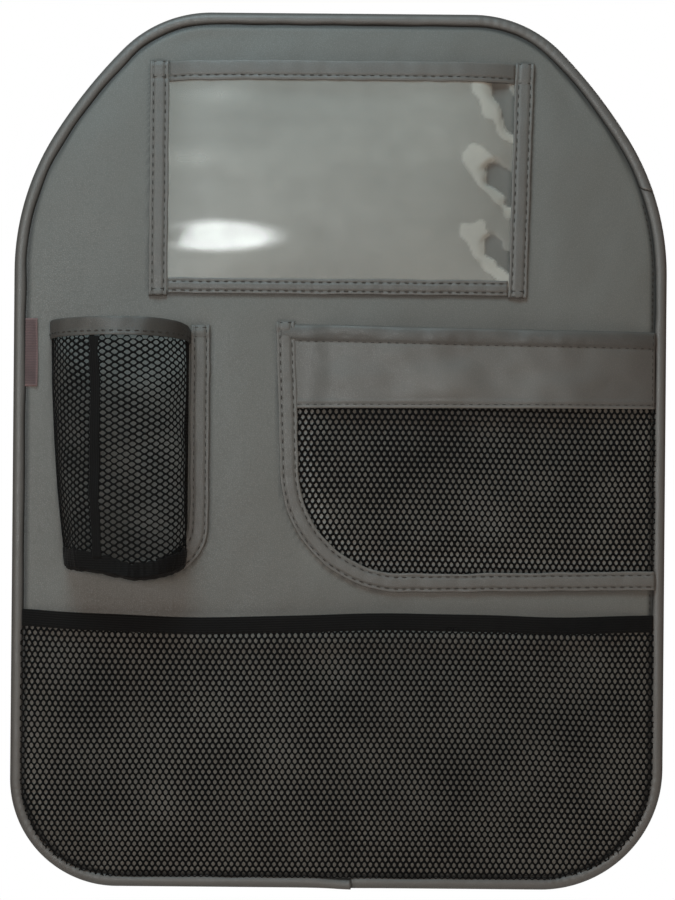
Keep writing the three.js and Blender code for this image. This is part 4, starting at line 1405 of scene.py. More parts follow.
        # Painted shade: dark towards the ditch side of the roll, and at the spliced ends where one length
        # runs under the other.
        ditch = 0.85 * smoothstep(u, BINDING_WIDTH - 1.5, BINDING_WIDTH - 0.2) + 0.0 * run
        under = 0.3 * bell(foot, 0.7) if over else 0.7 * bell(shoulder, 1.4) + 0.7 * bell(foot, 1.5)
        body.marks = {"painted_shade": np.maximum(ditch, under).ravel()}
        piece = make_piece(name, body, self.wardrobe[Finish.BINDING], (node,))

    @staticmethod
    def _splice(path: Path, u: Array) -> Array:
        """How the shoulder splice slants: shifts along the path that fade away from it, forward inside.

        Args:
            path: The edge that the binding wraps.
            u: Distance in from the edge, (1, points).

        Returns:
            Shift in x and z, (stations, points, 2).
        """
        over = path.normals[0, 0] > 0.5
        shoulder = path.run if over else path.length - path.run
        slant = 5.0 * (np.clip(u / BINDING_WIDTH, 0.0, 1.0) - 0.5) * (1.0 + 0.4 * np.sin(u * 0.9))
        amount = bell(shoulder, 9.0)[:, None] * slant
        along = np.stack([-path.normals[:, 1], path.normals[:, 0]], axis=1)
        return amount[..., None] * along[:, None, :]

    def _edge_stitches(self) -> None:
        """Stitches in the ditch beside the binding, down the right side and along the foot."""
        path = EDGE.right(3.0)
        part = path.between(90.0, path.length - 8.0, 2.0)
        flat = part.offset(BINDING_WIDTH + 1.7)
        self.sewing.add(Stitches.on(together(flat[:, 0], COVER_FACE - 0.05, flat[:, 1]), SEAM_PITCH))


# Nets


@dataclass(frozen=True)
class HexNet:
    """A knitted net of six-sided meshes.

    Each mesh is a hexagon of yarn crests round an oval hole. The crests stand at the full thickness in
    front and at nothing behind, and the hole's edge lies halfway, so each strand is a lens in section.
    The hole's points are (a cos^p, b sin^p), where the pinch p draws an ellipse towards a diamond.
    """

    pitch: float = 4.15
    row_step: float = 3.6
    hole_width: float = 2.5
    hole_height: float = 3.4
    thickness: float = 0.8
    pinch: float = 1.25
    turned: bool = False

    def cells(
        self, low: tuple[float, float], high: tuple[float, float], keep: Callable[[Array], Array]
    ) -> Array:
        """Middles of the meshes in a box that a test keeps.

        Args:
            low: Lowest first and second coordinate.
            high: Highest ones.
            keep: Test of points (n, 2) that says which stay.

        Returns:
            The middles, (n, 2).
        """
        a, b = (1, 0) if self.turned else (0, 1)
        rows = int((high[b] - low[b]) / self.row_step) + 2
        columns = int((high[a] - low[a]) / self.pitch) + 3
        j, i = np.meshgrid(np.arange(rows), np.arange(columns), indexing="ij")
        first = low[a] + (i + 0.5 * (j % 2)) * self.pitch
        second = low[b] + j * self.row_step
        ordered = (second, first) if self.turned else (first, second)
        found = np.stack([c.ravel() for c in ordered], axis=1)
        return found[keep(found)]

    def body(self, cells: Array, place: Callable[[Array, Array, Array], Array], open_by: Array) -> Body:
        """The net's mesh, put in place.

        Args:
            cells: Middles of the meshes, (n, 2).
            place: Gives points in space from flat points and their height above the net's back.
            open_by: How far each mesh is stretched open, 1 for the plain size, (n,).

        Returns:
            The closed body.
        """
        high, low = self.row_step * 2.0 / 3.0, self.row_step / 3.0
        half = self.pitch / 2.0
        right = [[0, high], [half, low], [half, -low]]
        corner = np.array(right + [[-x, -z] for x, z in right], float)
        angle = math.pi / 2.0 - np.arange(12) * math.pi / 6.0
        cos, sin = np.cos(angle), np.sin(angle)
        across = np.sign(cos) * np.abs(cos) ** self.pinch * self.hole_width / 2.0
        upward = np.sign(sin) * np.abs(sin) ** self.pinch * self.hole_height / 2.0
        oval = np.stack([across, upward], axis=1)
        if self.turned:
            corner, oval = corner[:, ::-1], oval[:, ::-1]
        count = len(cells)
        outer = (cells[:, None, :] + corner[None]).reshape(-1, 2)
        keys, first, back_to = np.unique(np.round(outer, 2), axis=0, return_index=True, return_inverse=True)
        crest = outer[first]
        ring = back_to.reshape(count, 6)
        holes = (cells[:, None, :] + oval[None] * open_by[:, None, None]).reshape(-1, 2)
        crests = len(keys)
        inner = 2 * crests + np.arange(count * 12).reshape(count, 12)
        following = np.roll(ring, -1, axis=1)
        first_hole, middle_hole = inner[:, 0::2], inner[:, 1::2]
        last_hole = np.roll(first_hole, -1, axis=1)
        fans = [(ring, first_hole, middle_hole), (ring, middle_hole, following)]
        fans.append((following, middle_hole, last_hole))
        front = np.concatenate([np.stack(fan, axis=2).reshape(-1, 3) for fan in fans])
        back = np.where(front < crests, front + crests, front)[:, ::-1]
        edges = np.stack([ring, following], axis=2).reshape(-1, 2)
        _, place_of, uses = np.unique(np.sort(edges, axis=1), axis=0, return_inverse=True, return_counts=True)
        rim = edges[uses[place_of.ravel()] == 1]
        sides = np.stack([rim[:, 0], rim[:, 1], rim[:, 1] + crests, rim[:, 0] + crests], axis=1)
        flat = np.concatenate([crest, crest, holes])
        height = np.concatenate([
            np.full(crests, self.thickness),
            np.zeros(crests),
            np.full(len(holes), self.thickness / 2.0),
        ])
        points = place(flat[:, 0], flat[:, 1], height)
        wear_and_light = np.zeros(len(points))
        return Body(points, [front, back, sides], flat, wear_and_light).outward()


# Pockets


@dataclass
class TabletPocket:
    """The clear pocket at the top: a clear sheet bound by four strips."""

    wardrobe: Wardrobe
    sewing: Sewing
    top: float = 267.5
    foot: float = 105.5
    half_width: float = 132.0
    taper: float = 4.0
    slack: float = 9.0
    hem_height: float = 13.5
    foot_height: float = 10.5
    sheet: float = 0.5
    glare_place: tuple[float, float] = (-75.0, 146.0)
    clings: tuple[tuple[float, float, float, float, float], ...] = (
        (108.0, 253.0, 119.0, 226.0, 7.0),
        (106.0, 192.0, 118.0, 178.0, 7.5),
        (105.0, 141.0, 116.5, 130.0, 6.5),
    )
    halos: tuple[tuple[float, float, float, float, float], ...] = (
        (97.0, 249.0, 115.0, 221.0, 8.0),
        (91.0, 202.0, 115.5, 171.0, 8.5),
        (91.0, 151.0, 115.0, 121.0, 8.5),
    )

    @property
    def clear_foot(self) -> float:
        """Height at which the clear sheet leaves the foot strip."""
        return self.foot + 2.0 + self.foot_height

    def right(self, z: Array | float) -> Array | float:
        """The outer edge of the right strip at a height."""
        return self.half_width - self.taper * (self.top - z) / (self.top - self.foot)

    def lift(self, x: Array, z: Array) -> Array:
        """How far the sheet stands off the cover: 1 - a^6 across, 1 - (1 - b)^3 up, none along the strips.

        Args:
            x: First coordinate of the points.
            z: Second coordinate.

        Returns:
            The distances.
        """
        left = -self.half_width + STRIP_WIDTH
        right = self.right(z) - STRIP_WIDTH
        across = np.clip(2.0 * (x - left) / (right - left) - 1.0, -1.0, 1.0)
        up = np.clip((z - self.clear_foot) / (self.top - self.clear_foot), 0.0, 1.0)
        return self.slack * (1.0 - across**6) * (1.0 - (1.0 - up) ** 3)

    @staticmethod
    def _patches(x: Array, z: Array, patches: Sequence[tuple[float, ...]], soft: float) -> Array:
        """Patches round short lines: 1 within a radius of the line, 0 beyond it, their edges made uneven.

        Args:
            x: First coordinate.
            z: Second coordinate.
            patches: Two ends and a radius for each patch.
            soft: Width of the change from 1 to 0.

        Returns:
            The patches' weight at each point.
        """
        weight = np.zeros_like(x)
        for ax, az, bx, bz, radius in patches:
            away = distance_to(x, z, np.array([[ax, az], [bx, bz]])) + 1.5 * ripple(x, z, 15.0, int(az))
            weight = np.maximum(weight, 1.0 - smoothstep(away, radius - soft, radius + soft))
        return weight

    def sheet_height(self, x: Array, z: Array) -> Array:
        """Height of the clear sheet's back over its seat: lift, long shallow waves and clinging patches.

        Args:
            x: First coordinate of the points.
            z: Second coordinate.

        Returns:
            The heights.
        """
        lift = self.lift(x, z)
        waves = 0.05 * ripple(x * 0.12, z, 52.0, 21) + 0.3 * bell(x - 118.0, 16.0) * ripple(x, z, 26.0, 5)
        room = np.clip(lift / 3.0, 0.0, 1.0)
        held = self._patches(x, z, self.clings, 5.0)
        return (lift + waves * room) * (1.0 - held) - 0.75 * held * room

    def build(self) -> None:
        """Makes the sheet and its strips, and adds their stitches."""
        self._sheet()
        for strip in self._strips():
            strip.build(self.wardrobe)
            self.sewing.add(*strip.stitches())

    def _sheet(self) -> None:
        """The clear sheet, tucked into the strips on all four sides."""
        rows, columns = 110, 150
        low, high = self.foot + 3.5, self.top - 2.5
        z = np.linspace(low, high, rows)[:, None]
        left = -self.half_width + 1.5
        right = self.right(z) - 1.5
        x = left + (right - left) * np.linspace(0.0, 1.0, columns)[None, :]
        z = np.broadcast_to(z, x.shape)
        back = HELD_BACK - self.sheet_height(x, z)
        body = slab(together(x, back - self.sheet, z), together(x, back, z), together(x, z))
        cling = self._patches(x, z, self.clings, 0.8)
        rim = self._patches(x, z, self.halos, 1.0) * (1.0 - cling)
        # Painted highlights: two soft pale streaks on the sheet's left, added to the halos' mark.
        rim += 0.4 * bell(x + 106.0, 26.0) * bell(z - 199.0, 7.0)
        rim += 0.35 * bell(x + 84.0, 22.0) * bell(z - 243.0, 6.0)
        gloss = 1.0 - smoothstep(np.hypot((x + 85.0) / 41.0, (z - 147.0) / 10.0), 0.75, 1.35)
        marks = {"cling": cling, "rim": rim, "gloss": gloss}
        body.marks = {name: np.tile(values.ravel(), 2) for name, values in marks.items()}
        piece = make_piece("window_clear_sheet", body, self.wardrobe[Finish.CLEAR], ("window_sheet",))

    def _strips(self) -> list[Strip]:
        """The four strips, each along its outer edge with the pocket on its left hand.

        Returns:
            The hem, the foot strip, the left strip and the right one.
        """
        lean = math.atan(self.taper / (self.top - self.foot))
        inner_left = -self.half_width + STRIP_WIDTH + CLEARANCE
        hem_top, foot_edge = self.top - 1.0, self.foot + 2.0
        inner_right = float(self.right(hem_top - self.hem_height)) - STRIP_WIDTH / math.cos(lean) - CLEARANCE
        foot_right = float(self.right(foot_edge)) - STRIP_WIDTH / math.cos(lean) - CLEARANCE
        tall = self.top - self.foot
        left = walk((-self.half_width, self.top), -math.pi / 2.0, [Straight(tall)], 1.5)
        start = (float(self.right(self.foot)), self.foot)
        right = walk(start, math.pi / 2.0 - lean, [Straight(tall / math.cos(lean))], 1.5)
        hem = walk((inner_right, hem_top), math.pi, [Straight(inner_right - inner_left)], 1.5)
        foot = walk((inner_left, foot_edge), 0.0, [Straight(foot_right - inner_left)], 1.5)
        hem_sizes = {"rows": (10.2,), "width": self.hem_height, "lift": self.lift}
        foot_sizes = {"rows": (2.1, 8.2), "width": self.foot_height}
        left_caps, right_caps = {"caps": ((1.0, 11.5), (-5.0, -1.0))}, {"caps": ((1.0, 5.0), (-14.0, -1.0))}
        return [
            Strip("window_top_hem_fold", hem, "window_top_hem", self.sheet, seed=2, **hem_sizes),
            Strip("window_foot_strip_fold", foot, "window_foot_strip", self.sheet, seed=3, **foot_sizes),
            Strip("window_left_strip_fold", left, "window_left_strip", self.sheet, seed=4, **left_caps),
            Strip("window_right_strip_fold", right, "window_right_strip", self.sheet, seed=5, **right_caps),
        ]

    def glare(self) -> tuple[Vector, Vector]:
        """Where the clear sheet mirrors a lamp to the camera.

        Returns:
            The place in metres, and the sheet's normal there by differences.
        """
        (x, z), step = np.array(self.glare_place)[:, None], 4.0
        ahead, behind = self.sheet_height(x + step, z), self.sheet_height(x - step, z)
        above, below = self.sheet_height(x, z + step), self.sheet_height(x, z - step)
        slope_x, slope_z = float((ahead - behind)[0]) / (2.0 * step), float((above - below)[0]) / (2.0 * step)
        depth = HELD_BACK - float(self.sheet_height(x, z)[0]) - self.sheet
        point = Vector((self.glare_place[0], depth, self.glare_place[1])) * MM
        return point, Vector((-slope_x, -1.0, -slope_z)).normalized()

    def seams(self) -> list[tuple[Array, float]]:
        """Middle lines and half widths of the strips, for the dents they draw in the cover.

        Returns:
            A line and a half width for each strip.
        """
        half = STRIP_WIDTH / 2.0
        left = -self.half_width + half
        right_top, right_foot = float(self.right(self.top)) - half, float(self.right(self.foot)) - half
        foot = self.foot + 2.0 + self.foot_height / 2.0
        return [
            (np.array([[left, self.top - half], [left, self.foot + half]]), half),
            (np.array([[right_top, self.top - half], [right_foot, self.foot + half]]), half),
            (np.array([[left, foot], [right_foot, foot]]), self.foot_height / 2.0),
        ]


@dataclass
class SidePocket:
    """The pocket on the right: a leatherette panel over a net, bound by a strip down and round the left."""

    wardrobe: Wardrobe
    sewing: Sewing
    left: float = -44.0
    row_top: float = 88.5
    row_foot: float = -97.0
    radius: float = 84.0
    lean: float = math.radians(2.0)
    rise: float = math.radians(1.0)
    slack: float = 12.0
    panel_left_top: float = 87.0
    panel_right_top: float = 83.0
    panel_left_foot: float = 29.0
    panel_right_foot: float = 30.4
    hem: float = 11.3
    foot_row: float = 2.6

    def edge(self, step: float = 2.0) -> Path:
        """The outer edge of the strip: down the left, round the corner and along to the right binding.

        Args:
            step: Distance between points.

        Returns:
            The path.
        """
        corner_fall = self.radius * (math.cos(self.rise) - math.sin(self.lean))
        straight = (self.row_top - self.row_foot - corner_fall) / math.cos(self.lean)
        heading = -math.pi / 2.0 + self.lean
        turn = math.pi / 2.0 - self.lean + self.rise
        moves = [Straight(straight), Arc(self.radius, turn)]
        end = walk((self.left, self.row_top), heading, moves, step).points[-1]
        moves.append(Straight((FIELD + 1.5 - float(end[0])) / math.cos(self.rise)))
        return walk((self.left, self.row_top), heading, moves, step)

    def _inside(self, x: Array, z: Array, inward: float) -> Array:
        """How far points are inside the strip's edge moved inwards."""
        return inside_of(self.edge(6.0).offset(inward), x, z)

    def lift(self, x: Array, z: Array) -> Array:
        """How far the pocket stands off the cover: 1 - a^4 across, 1 - (1 - b)^2 up, none along the strip.

        Args:
            x: First coordinate of the points.
            z: Second coordinate.

        Returns:
            The distances.
        """
        left, foot, top = self.left + STRIP_WIDTH, self.row_foot + STRIP_WIDTH, self.row_top - 3.0
        across = np.clip(2.0 * (x - left) / (FIELD - left) - 1.0, -1.0, 1.0)
        up = np.clip((z - foot) / (top - foot), 0.0, 1.0)
        settle = smoothstep(self._inside(x, z, STRIP_WIDTH + CLEARANCE), 0.0, 2.0 * STRIP_WIDTH)
        return self.slack * (1.0 - across**4) * (1.0 - (1.0 - up) ** 2) * settle

    def build(self) -> None:
        """Makes the net, the panel and the strip, and adds their stitches."""
        self._net()
        self._panel()
        caps = ((1.0, 7.0),)
        strip = Strip("side_pocket_strip_fold", self.edge(), "side_pocket_strip", 1.25, seed=7, caps=caps)
        strip.build(self.wardrobe)
        self.sewing.add(*strip.stitches())

    def _panel_foot(self, x: Array) -> Array:
        """Height of the panel's lower edge."""
        share = (x - self.left) / (FIELD - self.left)
        return self.panel_left_foot + (self.panel_right_foot - self.panel_left_foot) * share

    def _panel_top(self, x: Array) -> Array:
        """Height of the panel's upper edge, which sags a little between its ends."""
        share = (x - self.left) / (FIELD - self.left)
        sag = 0.8 * np.sin(math.pi * np.clip(share, 0.0, 1.0))
        return self.panel_left_top + (self.panel_right_top - self.panel_left_top) * share - sag

    def _panel_front(self, x: Array, z: Array) -> Array:
        """Depth of the panel's front: a doubled hem with its row at the top, a turned edge at the foot.

        Args:
            x: First coordinate of the points.
            z: Second coordinate.

        Returns:
            The depths in the frame, more negative towards the viewer.
        """
        top, foot = self._panel_top(x), self._panel_foot(x)
        rise = np.clip((z - (top - self.hem)) / self.hem, 0.0, 1.0)
        hem = 1.3 * np.sin(math.pi * rise) ** 0.8 + 0.3 * smoothstep(z - (top - 12.6), 0.0, 1.6)
        row = 0.5 * bell(z - (top - self.hem), 1.0)
        turned = 0.35 * (1.0 - smoothstep(z - (foot + 2.0 * self.foot_row), 0.0, 1.4))
        foot_row = 0.5 * bell(z - (foot + self.foot_row), 1.0)
        rounded = 0.45 * bell(z - top, 0.9) + 0.4 * bell(z - foot, 0.8)
        free = smoothstep(self._inside(x, z, STRIP_WIDTH), 0.0, 20.0) * smoothstep(FIELD - x, 0.0, 25.0)
        bulge = 1.1 * bell(x - 74.0, 24.0) * bell(z - 49.0, 15.0)
        bulge += 0.9 * bell(x - 128.0, 20.0) * bell(z - 50.0, 15.0)
        soft = (0.9 * ripple(x, z * 1.3, 70.0, 31) + 0.25 * ripple(x, z, 23.0, 2) + bulge) * free
        puckers = 0.22 * ripple(x, z * 0.2, 11.0, 6) * bell(z - (top - 8.5), 4.5) * free
        thick = 1.45 + hem - row + turned - foot_row - rounded + np.maximum(soft + puckers, -0.8)
        return HELD_BACK - self.lift(x, z) - thick

    def _panel(self) -> None:
        """The leatherette panel: a closed sheet from the strip to the right binding."""
        rows, columns = 64, 190
        share = np.linspace(0.0, 1.0, columns)[None, :]
        rise = np.linspace(0.0, 1.0, rows)[:, None]
        x = self.left + 3.4 + (FIELD + 0.4 - self.left - 3.4) * share + 0.0 * rise
        foot, top = self._panel_foot(x), self._panel_top(x)
        z = foot + (top - foot) * rise
        front = together(x, self._panel_front(x, z), z)
        back = together(x, HELD_BACK - self.lift(x, z) + 0.02, z)
        # Painted highlights: lines along the top and foot edges, and two soft patches on the panel's face.
        wear_and_light = 0.9 * bell(z - top, 1.4) + 0.8 * bell(z - foot, 1.1)
        wear_and_light += 0.4 * bell(x - 70.0, 30.0) * bell(z - 48.0, 14.0)
        wear_and_light += 0.35 * bell(x - 128.0, 22.0) * bell(z - 50.0, 14.0)
        body = slab(front, back, together(x, z), np.clip(wear_and_light, 0.0, 1.0))
        # Painted shade: over the doubled hem, in the grooves of both stitch rows, and darker towards the
        # right.
        hem = 0.3 * smoothstep(z - (top - 11.5), 0.0, 1.5) + 0.25 * bell(z - (top - self.hem), 0.6)
        shaded = hem + 0.12 * smoothstep(x, 110.0, 215.0) + 0.2 * bell(z - (foot + self.foot_row), 0.6)
        body.marks = {"painted_shade": np.tile(np.clip(shaded, 0.0, 1.0).ravel(), 2)}
        leatherette = self.wardrobe[Finish.TRIM]
        piece = make_piece("side_pocket_panel_cloth", body, leatherette, ("side_pocket_panel",))
        line_x = np.linspace(self.left + STRIP_WIDTH + 1.0, FIELD - 1.0, 130)
        for height in (self._panel_top(line_x) - self.hem, self._panel_foot(line_x) + self.foot_row):
            depth = self._panel_front(line_x, height) + 0.1
            self.sewing.add(Stitches.on(together(line_x, depth, height), HEM_PITCH))
        height = np.linspace(self.row_foot + 2.0, self.panel_right_top - 1.0, 120)
        line_x = np.full(120, FIELD - 1.3)
        over_net = COVER_FACE - 1.35 - self.lift(line_x, height)
        over_strip = np.where(height < self.row_foot + STRIP_WIDTH + 2.0, HELD_BACK - 1.7, over_net)
        panel = self._panel_front(line_x, height) + 0.05
        depth = np.where(height > self._panel_foot(line_x), panel, over_strip)
        self.sewing.add(Stitches.on(together(line_x, depth, height), SEAM_PITCH))

    def _net(self) -> None:
        """The net under the panel, tucked under the panel, the strip and the binding."""
        net = HexNet()

        def keep(points: Array) -> Array:
            """Meshes inside the strip and under the panel's foot."""
            x, z = points[:, 0], points[:, 1]
            inside = self._inside(x, z, STRIP_WIDTH - 2.6) > 0
            return inside & (z < self._panel_foot(x) + 3.0) & (x < FIELD + 1.0)

        def place(x: Array, z: Array, height: Array) -> Array:
            """Net points on the pocket's curve, with rows that waver a little.

            Args:
                x: First coordinate of the points.
                z: Second coordinate.
                height: Height above the net's back.

            Returns:
                Points in space, (n, 3).
            """
            wavy_x = x + 0.7 * np.sin(z / 29.0 + 0.4) + 0.4 * np.sin(x / 41.0)
            wavy_z = z + 0.9 * np.sin(x / 52.0 + 1.0)
            lift = self.lift(wavy_x, wavy_z)
            lift += 0.3 * ripple(x, z, 44.0, 12) * smoothstep(self.lift(x, z), 0.5, 4.0)
            under = np.where(z > self._panel_foot(x), 0.36, 0.0)
            return together(wavy_x, COVER_FACE - 0.5 - lift - height + under, wavy_z)

        low, high = (self.left + 8.0, self.row_foot + 8.0), (FIELD + 3.0, self.panel_right_foot + 6.0)
        cells = net.cells(low, high, keep)
        x, z = cells[:, 0], cells[:, 1]
        open_by = 0.98 + 0.04 * ripple(x, z, 40.0, 52) + 0.08 * bell(np.hypot(x - 104.0, z + 30.0), 34.0)
        open_by = open_by - 0.1 * bell(np.hypot((x - 52.0) / 1.6, z + 2.0), 30.0)
        body = net.body(cells, place, open_by)
        piece = make_piece("side_pocket_knit_net", body, self.wardrobe[Finish.NET], ("side_pocket_net",))

    def seams(self) -> list[tuple[Array, float]]:
        """Middle line and half width of the strip."""
        path = self.edge(5.0)
        middle = path.between(STRIP_WIDTH / 2.0, path.length - STRIP_WIDTH / 2.0, 5.0)
        return [(middle.offset(STRIP_WIDTH / 2.0), STRIP_WIDTH / 2.0)]


@dataclass
class LowerPocket:
    """The full-width net pocket at the bottom, with an elastic along its mouth."""

    wardrobe: Wardrobe
    mouth: float = -111.5
    foot: float = -301.5
    slack: float = 12.0
    elastic_height: float = 11.7
    sag: float = 2.8

    def dip(self, x: Array) -> Array:
        """How far the elastic hangs below its ends: two soft sags, the deeper on the left."""
        return self.sag * bell(x + 98.0, 72.0) + 0.5 * self.sag * bell(x - 148.0, 40.0)

    def lift(self, x: Array, z: Array) -> Array:
        """How far the pocket stands off the cover: 1 - a^4 across and 1 - (1 - b)^2 up."""
        low = self.foot + BINDING_WIDTH + CLEARANCE
        share = np.clip((z - low) / (self.mouth - low), 0.0, 1.0)
        across = np.clip(x / FIELD, -1.0, 1.0)
        return self.slack * (1.0 - across**4) * (1.0 - (1.0 - share) ** 2)

    def build(self) -> None:
        """Makes the elastic and the net."""
        self._elastic()
        self._net()

    def _elastic(self) -> None:
        """The elastic: a closed band with softly rounded edges and slight puckers.

        Across its height v the front stands out by t (1 - (2v - 1)^6)^(1/2), so its edges are round.
        """
        rows, columns = 13, 330
        v = (1.0 - np.cos(np.linspace(0.0, math.pi, rows)))[:, None] / 2.0
        x = np.linspace(-FIELD - 0.8, FIELD + 0.8, columns)[None, :] + np.zeros_like(v)
        left_rise = 1.0 * bell(x + FIELD, 26.0) + 0.8 * bell(x - 60.0, 90.0)
        z = self.mouth - self.elastic_height - self.dip(x) + left_rise + v * self.elastic_height
        z = z + 0.25 * ripple(x, x * 0.0, 83.0, 6)
        pucker = 0.16 * ripple(x, v * 4.0, 13.0, 8)
        pucker += 0.3 * ripple(x, x * 0.0, 71.0, 3) * smoothstep(FIELD - np.abs(x), 0.0, 20.0)
        rounded = np.sqrt(np.maximum(1.0 - (2.0 * v - 1.0) ** 6, 0.0))
        seat = COVER_FACE - 0.25 - self.lift(x, z) - np.maximum(pucker, -0.2)
        front = together(x, seat - 0.75 - 0.75 * rounded, z)
        back = together(x, seat - 0.75 + 0.65 * rounded, z)
        wear_and_light = np.clip(bell(v - 1.0, 0.1) + bell(v, 0.1), 0.0, 1.0) * 0.6 + np.zeros_like(x)
        body = slab(front, back, together(x, z - z[:1]), wear_and_light)
        piece = make_piece("lower_pocket_elastic", body, self.wardrobe[Finish.ELASTIC], ("lower_elastic",))

    def _net(self) -> None:
        """The net below the elastic, down to the binding at the foot and at both sides."""
        net = HexNet()

        def keep(points: Array) -> Array:
            """Meshes inside the binding and under the elastic's lower edge."""
            x, z = points[:, 0], points[:, 1]
            under = z < self.mouth - self.elastic_height - self.dip(x) + 2.4
            return under & (EDGE.inside(x, z) > BINDING_WIDTH - 1.6)

        def place(x: Array, z: Array, height: Array) -> Array:
            """Net points on the pocket's curve, the rows drawn down at the corners and wavering a little.

            Args:
                x: First coordinate of the points.
                z: Second coordinate.
                height: Height above the net's back.

            Returns:
                Points in space, (n, 3).
            """
            near_side = smoothstep(np.abs(x), 120.0, FIELD)
            drawn = 2.2 * near_side * np.sin(math.pi * np.clip((z + 293.0) / 170.0, 0.0, 1.0))
            wavy_z = z - drawn + 0.8 * np.sin(x / 61.0 + 0.6) * smoothstep(z, -292.0, -270.0)
            wavy_x = x + (0.9 * np.sin(z / 37.0) + 0.5 * np.sin(x / 45.0 + 2.0)) * (1.0 - near_side)
            lift = self.lift(wavy_x, wavy_z)
            lift = lift + 0.4 * ripple(x, z, 57.0, 17) * smoothstep(lift, 0.5, 4.0)
            return together(wavy_x, COVER_FACE - 0.5 - lift - height, wavy_z)

        cells = net.cells((-FIELD - 2.0, self.foot + 6.0), (FIELD + 2.0, self.mouth - 8.0), keep)
        x, z = cells[:, 0], cells[:, 1]
        open_by = 1.02 + 0.04 * ripple(x, z, 55.0, 58)
        open_by = open_by - 0.07 * bell(np.hypot((x + 150.0) / 1.5, z + 152.0), 26.0)
        open_by = open_by - 0.05 * bell(np.hypot((x - 20.0) / 3.0, z + 285.0), 30.0)
        body = net.body(cells, place, open_by)
        piece = make_piece("lower_pocket_knit_net", body, self.wardrobe[Finish.NET], ("lower_net",))


